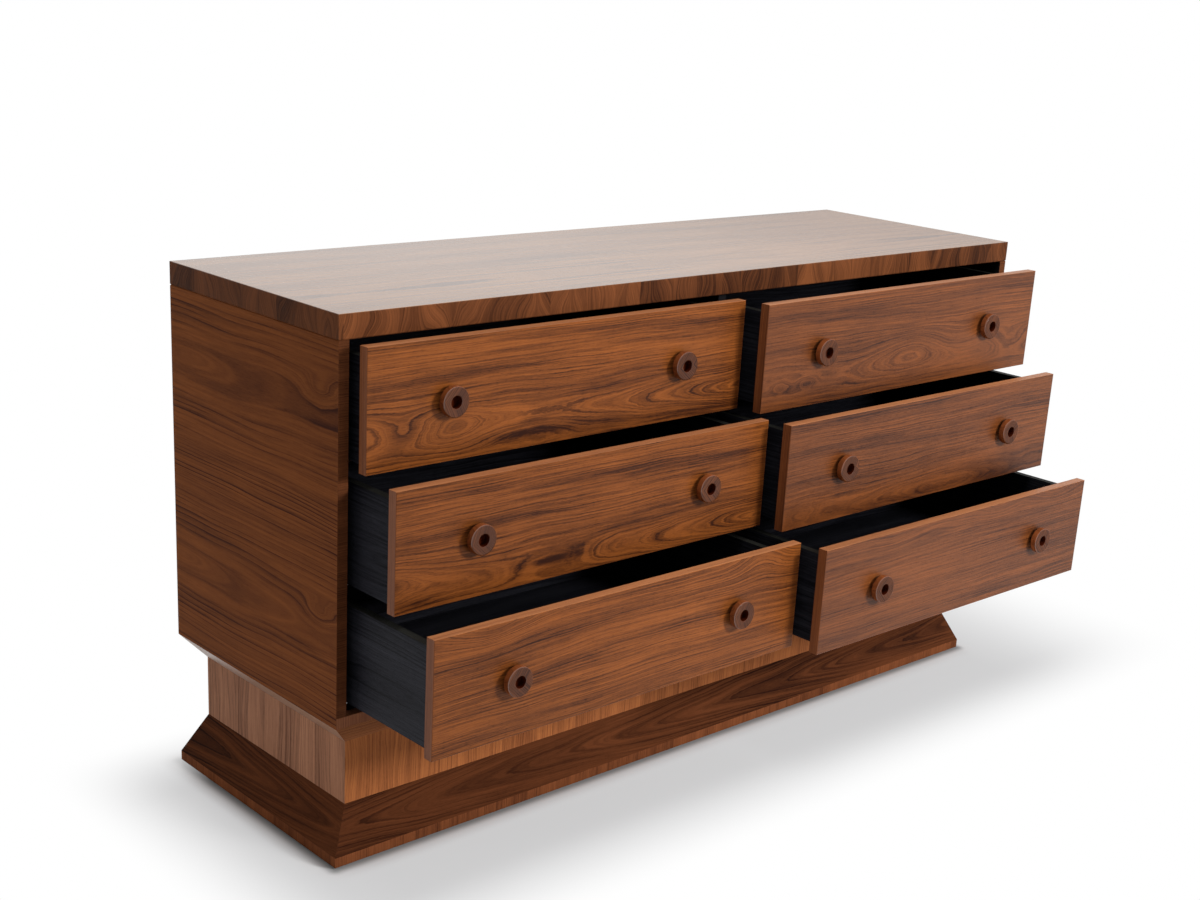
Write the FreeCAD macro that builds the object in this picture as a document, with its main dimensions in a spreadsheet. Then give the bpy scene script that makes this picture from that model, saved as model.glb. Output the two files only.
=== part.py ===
import FreeCAD, Part
import os
import re
import Sketcher

# Driving sizes in millimetres, each set by itself.
SIZES = {
    # The whole dresser.
    "case_width": 1600,
    "case_depth": 476,
    "total_height": 876,
    "top_thickness": 38,
    "board": 18,
    "reveal": 4.5,
    "edge_ease": 1.2,
    "joint_chamfer": 1.5,
    "overrun": 5,
    # The plinth: a skirt that flares to the floor, a recessed neck and a bevel under the case.
    "floor_gap": 2,
    "lip_height": 19,
    "skirt_height": 90,
    "neck_height": 107,
    "bevel_height": 41,
    "neck_inset_side": 37.5,
    "neck_inset_front": 30.5,
    "plinth_board": 20,
    "corner_post": 42,
    "bearer_spacing": 380,
    "glide_diameter": 30,
    "glide_height": 3,
    # The back, in a rebate all round.
    "back_thickness": 8,
    "rebate_width": 9,
    "back_play": 0.5,
    # Dowels and the screws of the back.
    "dowel_diameter": 8,
    "dowel_length": 38,
    "dowel_bite": 10,
    "dowel_play": 0.1,
    "dowel_margin": 70,
    "screw_diameter": 3.5,
    "screw_head": 7,
    "screw_head_depth": 2.2,
    "screw_length": 25,
    "screw_play": 0.1,
    "screw_row_margin": 132,
    "screw_column_margin": 36,
    # Drawer fronts and boxes.
    "front_thickness": 18,
    "front_clearance": 2,
    "side_gap": 12.5,
    "box_board": 14,
    "box_length": 420,
    "box_rise": 9.5,
    "box_drop": 18.5,
    "box_ease": 1.5,
    "tongue": 6,
    "tongue_width": 7,
    "groove": 6,
    "bottom_thickness": 6,
    "bottom_rise": 12.5,
    "joint_play": 0.3,
    "back_margin": 15,
    # Knobs: turned rings that stand off the front on a narrow foot, each with a tenon glued in.
    "knob_inset": 148,
    "knob_diameter": 48,
    "knob_thickness": 12,
    "knob_foot_diameter": 28,
    "knob_foot_height": 5.5,
    "knob_round": 2,
    "knob_hole": 20,
    "knob_hole_depth": 12,
    "knob_hole_chamfer": 0.8,
    "tenon_diameter": 12,
    "tenon_length": 12,
    # Concealed runners of bent steel sheet.
    "runner_setback": 20,
    "runner_sheet": 1.5,
    "runner_width": 18,
    "runner_leg": 12.5,
    "runner_gap": 1,
    "runner_play": 0.3,
    "rail_drop": 4.5,
    "rail_flange": 30,
    "rail_screw_rise": 18,
    "rail_screw_inset": 40,
    "rail_screw_bite": 8,
    "rail_screw_head": 1.8,
    # How far each drawer stands open.
    "pull_top_left": 38,
    "pull_top_right": 87.5,
    "pull_middle_left": 112.5,
    "pull_middle_right": 159.5,
    "pull_bottom_left": 208.5,
    "pull_bottom_right": 262,
}

# Sizes and places that follow from those above.
RELATIONS = {
    "half_width": "case_width / 2",
    "half_depth": "case_depth / 2",
    "neck_top": "skirt_height + neck_height",
    "case_bottom": "neck_top + bevel_height",
    "deck_top": "case_bottom + board",
    "top_underside": "total_height - top_thickness",
    "inner_half": "half_width - board",
    "carcass_back": "half_depth - back_thickness",
    "partition_front": "front_thickness + front_clearance - half_depth",
    "front_height": "(top_underside - deck_top - 4 * reveal) / 3",
    "row_pitch": "front_height + reveal",
    "front_width": "inner_half - 1.5 * reveal",
    "front_shift": "(board + reveal) / 4",
    "bay_centre": "(inner_half + board / 2) / 2",
    "bay_half": "(inner_half - board / 2) / 2",
    "box_half": "bay_half - side_gap",
    "box_inner": "box_half - box_board",
    "box_height": "front_height - box_rise - box_drop",
    "bottom_under": "box_rise + bottom_rise",
    "bottom_top": "bottom_under + bottom_thickness",
    "box_rear": "front_thickness + box_length",
    "back_face": "box_rear - back_margin - box_board",
    "knob_offset": "front_width / 2 - knob_inset",
    "knob_depth": "knob_foot_height + knob_thickness",
    "runner_outer": "box_inner - runner_gap",
    "runner_inner": "runner_outer - runner_width",
    "runner_web": "bottom_under - runner_sheet",
    "runner_length": "box_length - runner_setback",
    "rail_low": "box_rise - rail_drop",
    "rail_front": "front_thickness + 2 * front_clearance",
    "front_board": "plinth_board * neck_inset_front / neck_inset_side",
    "bore_diameter": "dowel_diameter + 2 * dowel_play",
    "dowel_pitch": "(case_depth - 2 * dowel_margin) / 3",
    "screw_row_pitch": "(2 * inner_half - 2 * screw_row_margin) / 5",
    "screw_column_pitch": "(top_underside - case_bottom - 2 * screw_column_margin) / 3",
    "screw_line": "rebate_width / 2",
    "screw_bore": "screw_diameter + 2 * screw_play",
    "rail_screw_pitch": "runner_length / 2 - rail_screw_inset",
    "rail_screw_start": "rail_front - half_depth + rail_screw_inset",
    "rail_screw_level": "deck_top + reveal + rail_low + rail_screw_rise",
}

ROWS = ("bottom", "middle", "top")
COLUMNS = {"left": -1, "right": 1}
TINY = 1e-4

doc = FreeCAD.newDocument("dresser")
sheet = doc.addObject("Spreadsheet::Sheet", "Sizes")


def fill_sheet():
    """Writes every driving size into the sheet, with its name beside it as the alias of its cell."""
    for row, (name, value) in enumerate(SIZES.items(), 1):
        sheet.set(f"A{row}", name)
        sheet.set(f"B{row}", str(value))
        sheet.setAlias(f"B{row}", name)
    doc.recompute()


def bound(text):
    """The same sum with each size written as a cell of the sheet."""

    def cell(match):
        name = match.group(0)
        if name in RELATIONS:
            return f"({bound(RELATIONS[name])})"
        return f"Sizes.{name}" if name in SIZES else name

    return re.sub(r"[a-z][a-z_]*", cell, str(text))


def value_of(text):
    """The number that a sum of sizes comes to now."""
    return float(sheet.evalExpression(bound(text)))


def new_body(label, place=("0", "0", "0"), turn=0):
    """A body with its own name, placed by sums of sizes and turned about the upright axis."""
    body = doc.addObject("PartDesign::Body", label)
    body.Label = label
    body.AllowCompound = True
    body.Placement.Rotation = FreeCAD.Rotation(FreeCAD.Vector(0, 0, 1), turn)
    for axis, text in zip("xyz", place):
        body.setExpression(f"Placement.Base.{axis}", bound(text))
    return body


def origin_plane(body, role):
    """One of the body's own origin planes."""
    return next(item for item in body.Origin.OriginFeatures if item.Role == role)


def pin(drawing, geometry, point, corner):
    """Ties a point of a drawing to its two sums of sizes, measured from the origin."""
    for kind, text in zip(("DistanceX", "DistanceY"), corner):
        number = drawing.addConstraint(
            Sketcher.Constraint(kind, -1, 1, geometry, point, value_of(text))
        )
        drawing.setExpression(f"Constraints[{number}]", bound(text))


def draw_outline(drawing, corners):
    """Adds a closed outline of straight lines."""
    spots = [FreeCAD.Vector(value_of(u), value_of(v), 0) for u, v in corners]
    first = drawing.GeometryCount
    count = len(spots)
    for index, spot in enumerate(spots):
        drawing.addGeometry(Part.LineSegment(spot, spots[(index + 1) % count]), False)
    for index in range(count):
        following = first + (index + 1) % count
        drawing.addConstraint(Sketcher.Constraint("Coincident", first + index, 2, following, 1))
    for index, corner in enumerate(corners):
        pin(drawing, first + index, 1, corner)


def draw_circle(drawing, centre, diameter):
    """Adds a circle."""
    middle = FreeCAD.Vector(value_of(centre[0]), value_of(centre[1]), 0)
    upright = FreeCAD.Vector(0, 0, 1)
    geometry = drawing.addGeometry(Part.Circle(middle, upright, value_of(diameter) / 2), False)
    size = Sketcher.Constraint("Diameter", geometry, value_of(diameter))
    drawing.setExpression(f"Constraints[{drawing.addConstraint(size)}]", bound(diameter))
    pin(drawing, geometry, 3, centre)


def drawing_on(body, role, level="0"):
    """An empty drawing on one of the body's planes, moved along that plane's normal."""
    drawing = body.newObject("Sketcher::SketchObject", f"{body.Name}_drawing")
    drawing.AttachmentSupport = (origin_plane(body, role), [""])
    drawing.MapMode = "FlatFace"
    drawing.setExpression("AttachmentOffset.Base.z", bound(level))
    return drawing


def outlines(body, role, shapes, level="0"):
    """A drawing that holds several closed outlines."""
    drawing = drawing_on(body, role, level)
    for corners in shapes:
        draw_outline(drawing, corners)
    return drawing


def circles(body, role, centres, diameter, level="0"):
    """A drawing that holds several circles of one diameter."""
    drawing = drawing_on(body, role, level)
    for centre in centres:
        draw_circle(drawing, centre, diameter)
    return drawing


def rectangle(low_u, low_v, high_u, high_v):
    """The four corners of a rectangle."""
    return [(low_u, low_v), (high_u, low_v), (high_u, high_v), (low_u, high_v)]


def mirrored(corners):
    """The same corners on the other side of the drawing's upright axis."""
    return [(f"-({u})", v) for u, v in corners]


def pad(body, drawing, length, backward=False):
    """Adds the drawing's outlines as solid material."""
    feature = body.newObject("PartDesign::Pad", f"{body.Name}_pad")
    feature.Profile = drawing
    feature.Reversed = backward
    feature.setExpression("Length", bound(length))
    doc.recompute()
    return feature


def pocket(body, drawing, depth, backward=False):
    """Cuts the drawing's outlines into the body, and makes sure that they met material."""
    before = body.Shape.Volume
    feature = body.newObject("PartDesign::Pocket", f"{body.Name}_pocket")
    feature.Profile = drawing
    feature.Reversed = backward
    feature.setExpression("Length", bound(depth))
    doc.recompute()
    if body.Shape.Volume > before - TINY:
        raise ValueError(f"{feature.Label} cuts nothing")
    return feature


def edges_where(body, test):
    """Names of the edges of the body's last feature whose points all pass a test."""
    shape = body.Tip.Shape
    names = []
    for number, edge in enumerate(shape.Edges, 1):
        middle = edge.valueAt((edge.FirstParameter + edge.LastParameter) / 2)
        if all(test(spot) for spot in [vertex.Point for vertex in edge.Vertexes] + [middle]):
            names.append(f"Edge{number}")
    return names


def at_level(axis, text):
    """A test for points that lie at a level along an axis, 0 for x, 1 for y, 2 for z."""
    level = value_of(text)
    return lambda spot: abs(spot[axis] - level) < TINY


def soften(body, test, size, kind="Fillet"):
    """Rounds or chamfers the edges that pass a test."""
    names = edges_where(body, test)
    base = body.Tip
    feature = body.newObject(f"PartDesign::{kind}", f"{body.Name}_{kind.lower()}")
    feature.Base = (base, names)
    feature.setExpression("Radius" if kind == "Fillet" else "Size", bound(size))
    doc.recompute()
    return feature


# Dowels stand in lines across the depth; screws stand in a frame round the back.
DOWEL_LINE = [f"{share} * dowel_pitch" for share in (-1.5, -0.5, 0.5, 1.5)]
SCREW_ROW = [f"{share} * screw_row_pitch" for share in (-2.5, -1.5, -0.5, 0.5, 1.5, 2.5)]
SCREW_COLUMN = [f"(case_bottom + top_underside) / 2 + {share} * screw_column_pitch"
                for share in (-1.5, -0.5, 0.5, 1.5)]
SCREW_TOP = [(x, "top_underside + screw_line") for x in SCREW_ROW]
SCREW_DECK = [(x, "case_bottom + board / 2") for x in SCREW_ROW]
SCREW_PARTITION = [("0", z) for z in SCREW_COLUMN]
SCREW_SIDE = {hand: [(f"{hand} * (inner_half + screw_line)", z) for z in SCREW_COLUMN]
              for hand in (-1, 1)}
BACK_SCREWS = SCREW_TOP + SCREW_DECK + SCREW_PARTITION + SCREW_SIDE[-1] + SCREW_SIDE[1]
RAIL_SCREWS = [(f"rail_screw_start + {step} * rail_screw_pitch", f"rail_screw_level + {row} * row_pitch")
               for step in range(3) for row in range(len(ROWS))]


def screw_bores(body, centres, level):
    """Pilot bores for the screws of the back, cut forward from the face that the back lies on."""
    drawing = circles(body, "XZ_Plane", centres, "screw_bore", f"-({level})")
    reach = "screw_length - back_thickness + screw_play"
    pocket(body, drawing, reach, backward=True)


def rail_bores(body, lift, level, backward):
    """Pilot bores for the screws of the runner rails, in an upright board that starts at a lift."""
    centres = [(y, f"({z}) - {lift}") for y, z in RAIL_SCREWS]
    drawing = circles(body, "YZ_Plane", centres, "screw_bore", level)
    pocket(body, drawing, "rail_screw_bite + screw_play", backward)


def make_top_panel():
    """The slab over the case, with a stopped rebate for the back in its underside."""
    body = new_body("top_panel", ("0", "0", "top_underside"))
    plan = rectangle("-half_width", "-half_depth", "half_width", "half_depth")
    pad(body, outlines(body, "XY_Plane", [plan]), "top_thickness")
    soften(body, at_level(2, "0"), "joint_chamfer", "Chamfer")
    below = value_of("joint_chamfer")
    soften(body, lambda spot: spot[2] > below + TINY, "edge_ease")
    stop = "half_width - rebate_width"
    rebate = rectangle(f"-({stop})", "carcass_back", stop, "half_depth + overrun")
    pocket(body, outlines(body, "XY_Plane", [rebate]), "rebate_width", backward=True)
    lines = ("-(half_width - board / 2)", "0", "half_width - board / 2")
    centres = [(x, y) for x in lines for y in DOWEL_LINE]
    drawing = circles(body, "XY_Plane", centres, "bore_diameter")
    pocket(body, drawing, "dowel_length / 2 + dowel_play", backward=True)
    low_screws = [(x, "screw_line") for x in SCREW_ROW]
    screw_bores(body, low_screws, "carcass_back")


def make_side_panel(side, hand):
    """An upright side, rebated for the back, its foot mitred in plan to take the front rail."""
    body = new_body(f"{side}_side_panel", (f"{hand} * inner_half", "0", "case_bottom"))
    inner_line = f"{hand} * rebate_width"
    outer_line = f"{hand} * board"
    plan = [
        ("0", "-half_depth"),
        (outer_line, "-half_depth"),
        (outer_line, "half_depth"),
        (inner_line, "half_depth"),
        (inner_line, "carcass_back"),
        ("0", "carcass_back"),
    ]
    height = "top_underside - case_bottom"
    pad(body, outlines(body, "XY_Plane", [plan]), height)
    top = value_of(height)
    inward = value_of("board") / 2
    upper = at_level(2, height)
    soften(body, lambda spot: upper(spot) and abs(spot[0]) > inward, "joint_chamfer", "Chamfer")
    below = top - value_of("joint_chamfer")
    front = at_level(1, "-half_depth")
    soften(body, lambda spot: front(spot) and 0 <= spot[2] <= below + TINY, "edge_ease / 2")
    notch = [
        (f"-{hand} * overrun", "-half_depth - overrun"),
        (f"{hand} * (board + overrun)", "-half_depth - overrun"),
        (f"-{hand} * overrun", "-half_depth + board + overrun"),
    ]
    pocket(body, outlines(body, "XY_Plane", [notch]), "board", backward=True)
    upward = [(f"{hand} * board / 2", y) for y in DOWEL_LINE]
    drawing = circles(body, "XY_Plane", upward, "bore_diameter", height)
    pocket(body, drawing, "dowel_length / 2 + dowel_play")
    across = [(y, "board / 2") for y in DOWEL_LINE]
    drawing = circles(body, "YZ_Plane", across, "bore_diameter")
    pocket(body, drawing, "dowel_bite + dowel_play", backward=hand > 0)
    centres = [(f"{hand} * screw_line", f"({z}) - case_bottom") for z in SCREW_COLUMN]
    screw_bores(body, centres, "carcass_back")
    rail_bores(body, "case_bottom", "0", backward=hand > 0)


def make_centre_partition():
    """The upright board between the two stacks of drawers."""
    body = new_body("centre_partition", ("0", "0", "deck_top"))
    plan = rectangle("-board / 2", "partition_front", "board / 2", "carcass_back")
    height = "top_underside - deck_top"
    pad(body, outlines(body, "XY_Plane", [plan]), height)
    centres = [("0", y) for y in DOWEL_LINE]
    drawing = circles(body, "XY_Plane", centres, "bore_diameter")
    pocket(body, drawing, "dowel_length - dowel_bite + dowel_play", backward=True)
    drawing = circles(body, "XY_Plane", centres, "bore_diameter", height)
    pocket(body, drawing, "dowel_length / 2 + dowel_play")
    screw_bores(body, [("0", f"({z}) - deck_top") for z in SCREW_COLUMN], "carcass_back")
    for hand in (-1, 1):
        rail_bores(body, "deck_top", f"{hand} * board / 2", backward=hand < 0)


def make_deck_panel():
    """The floor of the case, held between the sides by dowels."""
    body = new_body("deck_panel", ("0", "0", "case_bottom"))
    plan = rectangle("-inner_half", "board - half_depth", "inner_half", "carcass_back")
    pad(body, outlines(body, "XY_Plane", [plan]), "board")
    drawing = circles(body, "XY_Plane", [("0", y) for y in DOWEL_LINE], "bore_diameter", "board")
    pocket(body, drawing, "dowel_bite + dowel_play")
    for hand in (-1, 1):
        across = [(y, "board / 2") for y in DOWEL_LINE]
        drawing = circles(body, "YZ_Plane", across, "bore_diameter", f"{hand} * inner_half")
        depth = "dowel_length - dowel_bite + dowel_play"
        pocket(body, drawing, depth, backward=hand < 0)
    screw_bores(body, [(x, "board / 2") for x in SCREW_ROW], "carcass_back")


def make_back_panel():
    """The back, let into the rebates and countersunk for its screws."""
    body = new_body("back_panel", ("0", "carcass_back", "0"))
    edge = "half_width - board + rebate_width - back_play"
    top = "top_underside + rebate_width - back_play"
    face = rectangle(f"-({edge})", "case_bottom", edge, top)
    pad(body, outlines(body, "XZ_Plane", [face]), "back_thickness", backward=True)
    drawing = circles(body, "XZ_Plane", BACK_SCREWS, "screw_bore")
    pocket(body, drawing, "back_thickness + overrun")
    hole = "screw_head + 2 * screw_play"
    drawing = circles(body, "XZ_Plane", BACK_SCREWS, hole, "-back_thickness")
    pocket(body, drawing, "screw_head_depth + screw_play", backward=True)


def make_screws():
    """Screws of the back, sunk flush, and of the runner rails, with their heads on the flanges."""
    body = new_body("screws")
    level = "-half_depth"
    pad(body, circles(body, "XZ_Plane", BACK_SCREWS, "screw_head", level), "screw_head_depth")
    pad(body, circles(body, "XZ_Plane", BACK_SCREWS, "screw_diameter", level), "screw_length")
    faces = {"inner_half - runner_sheet": False, "board / 2 + runner_sheet": True}
    for face, inward in faces.items():
        for hand in (-1, 1):
            level = f"{hand} * ({face})"
            to_wall = inward == (hand > 0)
            drawing = circles(body, "YZ_Plane", RAIL_SCREWS, "screw_head", level)
            pad(body, drawing, "rail_screw_head", backward=not to_wall)
            drawing = circles(body, "YZ_Plane", RAIL_SCREWS, "screw_diameter", level)
            pad(body, drawing, "rail_screw_bite + runner_sheet", backward=to_wall)


def make_dowels():
    """Wooden dowels between the sides, partition, top and deck."""
    body = new_body("dowels")
    lines = ("-(half_width - board / 2)", "0", "half_width - board / 2")
    centres = [(x, y) for x in lines for y in DOWEL_LINE]
    level = "top_underside - dowel_length / 2"
    pad(body, circles(body, "XY_Plane", centres, "dowel_diameter", level), "dowel_length")
    centres = [("0", y) for y in DOWEL_LINE]
    level = "deck_top - dowel_bite"
    pad(body, circles(body, "XY_Plane", centres, "dowel_diameter", level), "dowel_length")
    across = [(y, "case_bottom + board / 2") for y in DOWEL_LINE]
    for start in ("-(inner_half + dowel_bite)", "inner_half + dowel_bite - dowel_length"):
        pad(body, circles(body, "YZ_Plane", across, "dowel_diameter", start), "dowel_length")


def mitre(body, length, along, inward, depth, height):
    """Cuts both ends of a board by an upright plane from its outer corner towards the neck's corner."""
    end = f"({length}) / 2"
    slope = f"({along}) / ({inward})"
    wedge = [
        (f"{end} + {slope} * overrun", "-overrun"),
        (f"{end} - {slope} * ({depth} + overrun)", f"{depth} + overrun"),
        (f"{end} + {slope} * overrun", f"{depth} + overrun"),
    ]
    drawing = outlines(body, "XY_Plane", [wedge, mirrored(wedge)])
    pocket(body, drawing, f"{height} + overrun", backward=True)


def make_front_rail():
    """The rail along the foot of the case, mitred in plan into both sides."""
    body = new_body("front_rail", ("0", "-half_depth", "case_bottom"))
    section = rectangle("0", "0", "board", "board")
    drawing = outlines(body, "YZ_Plane", [section], "-half_width")
    pad(body, drawing, "case_width")
    front = at_level(1, "0")
    soften(body, front, "edge_ease / 2")
    mitre(body, "case_width", "board", "board", "board", "board")


def make_plinth_frame(kind, base, height, section):
    """Four mitred boards round the plinth, their section given by its inset and thickness."""
    frame = {
        "front": ("0", "-half_depth", 0),
        "right": ("half_width", "0", 90),
        "back": ("0", "half_depth", 180),
        "left": ("-half_width", "0", -90),
    }
    for side, (x, y, turn) in frame.items():
        lengthwise = side in ("front", "back")
        length = "case_width" if lengthwise else "case_depth"
        inset = "neck_inset_front" if lengthwise else "neck_inset_side"
        along = "neck_inset_side" if lengthwise else "neck_inset_front"
        thickness = "front_board" if lengthwise else "plinth_board"
        body = new_body(f"{kind}_{side}", (x, y, base), turn)
        drawing = outlines(body, "YZ_Plane", [section(inset, thickness)], f"-{length} / 2")
        pad(body, drawing, length)
        mitre(body, length, along, inset, f"{inset} + {thickness}", height)


def bevel_section(inset, thickness):
    """A moulding that runs in from the foot of the case to the neck."""
    inner = f"{inset} + {thickness}"
    return [("0", "bevel_height"), (inset, "0"), (inner, "0"), (inner, "bevel_height")]


def neck_section(inset, thickness):
    """A plain upright board, set in from the case."""
    return rectangle(inset, "0", f"{inset} + {thickness}", "neck_height")


def skirt_section(inset, thickness):
    """A board that flares out from the neck to an upright lip at the floor."""
    lip = "lip_height - floor_gap"
    top = "skirt_height - floor_gap"
    return [
        ("0", "0"),
        (thickness, "0"),
        (thickness, lip),
        (f"{inset} + {thickness}", top),
        (inset, top),
        ("0", lip),
    ]


def make_plinth():
    """The bevel, neck and skirt, one above the other."""
    make_plinth_frame("bevel", "neck_top", "bevel_height", bevel_section)
    make_plinth_frame("neck", "skirt_height", "neck_height", neck_section)
    make_plinth_frame("skirt", "floor_gap", "skirt_height - floor_gap", skirt_section)


POST_CENTRES = [
    (f"{x} * (half_width - neck_inset_side - plinth_board - corner_post / 2)",
     f"{y} * (half_depth - neck_inset_front - front_board - corner_post / 2)")
    for x in (-1, 1) for y in (-1, 1)
]


def make_plinth_supports():
    """Corner posts and cross bearers inside the plinth, glued to the neck and under the case."""
    body = new_body("plinth_supports", ("0", "0", "glide_height"))
    posts = [
        rectangle(f"{x} - corner_post / 2", f"{y} - corner_post / 2",
                  f"{x} + corner_post / 2", f"{y} + corner_post / 2")
        for x, y in POST_CENTRES
    ]
    reach = "half_depth - neck_inset_front - front_board"
    middle = rectangle("-board / 2", f"-({reach})", "board / 2", reach)
    pad(body, outlines(body, "XY_Plane", posts + [middle]), "case_bottom - glide_height")
    bearers = [
        rectangle(f"{x} * bearer_spacing - board / 2", f"-({reach})",
                  f"{x} * bearer_spacing + board / 2", reach)
        for x in (-1, 1)
    ]
    drawing = outlines(body, "XY_Plane", bearers, "skirt_height - glide_height")
    pad(body, drawing, "case_bottom - skirt_height")


def make_glides():
    """Round glides that carry the plinth at its corners and under the middle bearer."""
    body = new_body("floor_glides")
    centres = POST_CENTRES + [("0", "0")]
    pad(body, circles(body, "XY_Plane", centres, "glide_diameter"), "glide_height")


def rail_section(centre, hand):
    """A cabinet rail: a flange on the wall, a web under the drawer side and a raised track."""
    outer = "runner_outer - runner_sheet - runner_play"
    inner = "runner_inner + runner_sheet + runner_play"
    crown = "runner_web - runner_play"
    corners = [
        ("bay_half", "rail_low"),
        ("bay_half", "rail_low + rail_flange"),
        ("bay_half - runner_sheet", "rail_low + rail_flange"),
        ("bay_half - runner_sheet", "rail_low + runner_sheet"),
        (outer, "rail_low + runner_sheet"),
        (outer, crown),
        (inner, crown),
        (inner, "rail_low"),
        (f"{inner} + runner_sheet", "rail_low"),
        (f"{inner} + runner_sheet", f"{crown} - runner_sheet"),
        (f"{outer} - runner_sheet", f"{crown} - runner_sheet"),
        (f"{outer} - runner_sheet", "rail_low"),
    ]
    return [(f"{centre} + {hand} * ({u})", v) for u, v in corners]


def make_runner_rails():
    """Twelve cabinet rails, a pair for each drawer, fixed to the sides and the partition."""
    body = new_body("runner_rails", ("0", "rail_front - half_depth", "deck_top + reveal"))
    shapes = [rail_section(f"{column} * bay_centre", hand) for column in (-1, 1) for hand in (-1, 1)]
    features = [pad(body, outlines(body, "XZ_Plane", shapes), "runner_length", backward=True)]
    holes = [(f"rail_screw_inset + {step} * rail_screw_pitch", "rail_low + rail_screw_rise")
             for step in range(3)]
    for column in (-1, 1):
        for hand in (-1, 1):
            wall = f"{column} * bay_centre + {hand} * bay_half"
            drawing = circles(body, "YZ_Plane", holes, "screw_bore", wall)
            features.append(pocket(body, drawing, "runner_sheet + overrun", backward=hand < 0))
    pattern = body.newObject("PartDesign::LinearPattern", "runner_rails_rows")
    pattern.Originals = features
    pattern.Direction = (next(f for f in body.Origin.OriginFeatures if f.Role == "Z_Axis"), [""])
    pattern.Occurrences = len(ROWS)
    pattern.setExpression("Length", bound(f"{len(ROWS) - 1} * row_pitch"))
    body.Tip = pattern
    doc.recompute()


def drawer_place(row, column):
    """Where a drawer's own frame stands: the middle of its bay, at the foot of its front."""
    pull = f"pull_{ROWS[row]}_{column}"
    return (
        f"{COLUMNS[column]} * bay_centre",
        f"-half_depth - {pull}",
        f"deck_top + reveal + {row} * row_pitch",
    )


def make_front(label, place, hand):
    """A drawer front, housed at the back for the sides and bottom, and bored for the knobs."""
    body = new_body(label, place)
    middle = f"-{hand} * front_shift"
    face = rectangle(f"{middle} - front_width / 2", "0", f"{middle} + front_width / 2", "front_height")
    pad(body, outlines(body, "XZ_Plane", [face]), "front_thickness", backward=True)
    inward = value_of("front_thickness")
    soften(body, lambda spot: spot[1] < inward - TINY, "edge_ease")
    housing = rectangle(
        "box_inner - joint_play", "box_rise - joint_play",
        "box_inner + tongue_width + joint_play", "box_rise + box_height + joint_play",
    )
    drawing = outlines(body, "XZ_Plane", [housing, mirrored(housing)], "-front_thickness")
    pocket(body, drawing, "tongue + joint_play", backward=True)
    slot = rectangle(
        "joint_play - box_inner", "bottom_under - joint_play",
        "box_inner - joint_play", "bottom_top + joint_play",
    )
    drawing = outlines(body, "XZ_Plane", [slot], "-front_thickness")
    pocket(body, drawing, "groove + joint_play", backward=True)
    centres = [(f"{middle} + {side} * knob_offset", "front_height / 2") for side in (-1, 1)]
    bore = "tenon_diameter + 2 * dowel_play"
    drawing = circles(body, "XZ_Plane", centres, bore)
    pocket(body, drawing, "tenon_length + joint_play")


def make_sides(label, place):
    """Two box sides with a tongue at the front, grooved for the bottom and housed for the back."""
    body = new_body(label, place)
    plan = [
        ("box_half", "front_thickness"),
        ("box_half", "box_rear"),
        ("box_inner", "box_rear"),
        ("box_inner", "front_thickness - tongue"),
        ("box_inner + tongue_width", "front_thickness - tongue"),
        ("box_inner + tongue_width", "front_thickness"),
    ]
    drawing = outlines(body, "XY_Plane", [plan, mirrored(plan)], "box_rise")
    pad(body, drawing, "box_height")
    upper = at_level(2, "box_rise + box_height")
    start = value_of("front_thickness")
    soften(body, lambda spot: upper(spot) and spot[1] > start - TINY, "box_ease")
    slot = rectangle(
        "box_inner - overrun", "bottom_under - joint_play",
        "box_inner + groove", "bottom_top + joint_play",
    )
    level = "-(box_rear + overrun)"
    drawing = outlines(body, "XZ_Plane", [slot, mirrored(slot)], level)
    pocket(body, drawing, "box_length + tongue + 2 * overrun", backward=True)
    housing = rectangle(
        "box_inner - overrun", "back_face - joint_play",
        "box_inner + groove", "back_face + box_board + joint_play",
    )
    drawing = outlines(body, "XY_Plane", [housing, mirrored(housing)], "bottom_top")
    pocket(body, drawing, "box_height", backward=True)


def make_box_back(label, place):
    """The back board of a drawer box, standing on the bottom between the sides."""
    body = new_body(label, place)
    end = "box_inner + groove - joint_play"
    plan = rectangle(f"-({end})", "back_face", end, "back_face + box_board")
    height = "box_rise + box_height - bottom_top"
    pad(body, outlines(body, "XY_Plane", [plan], "bottom_top"), height)
    upper = at_level(2, "box_rise + box_height")
    far = value_of(end)
    soften(body, lambda spot: upper(spot) and abs(spot[0]) <= far + TINY, "box_ease")


def make_bottom(label, place):
    """The bottom of a drawer box, in the grooves of the sides and front."""
    body = new_body(label, place)
    end = "box_inner + groove - joint_play"
    plan = rectangle(f"-({end})", "front_thickness", end, "box_rear")
    pad(body, outlines(body, "XY_Plane", [plan], "bottom_under"), "bottom_thickness")
    edge = "box_inner - 2 * joint_play"
    lip = rectangle(f"-({edge})", "front_thickness - groove", edge, "front_thickness")
    pad(body, outlines(body, "XY_Plane", [lip], "bottom_under"), "bottom_thickness")


def within(centres, diameter):
    """A test for points that lie in a circle about any of the centres, seen from the front."""
    spots = [(value_of(u), value_of(v)) for u, v in centres]
    reach = value_of(diameter) / 2 + TINY
    return lambda spot: any((spot[0] - u) ** 2 + (spot[2] - v) ** 2 < reach ** 2 for u, v in spots)


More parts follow.
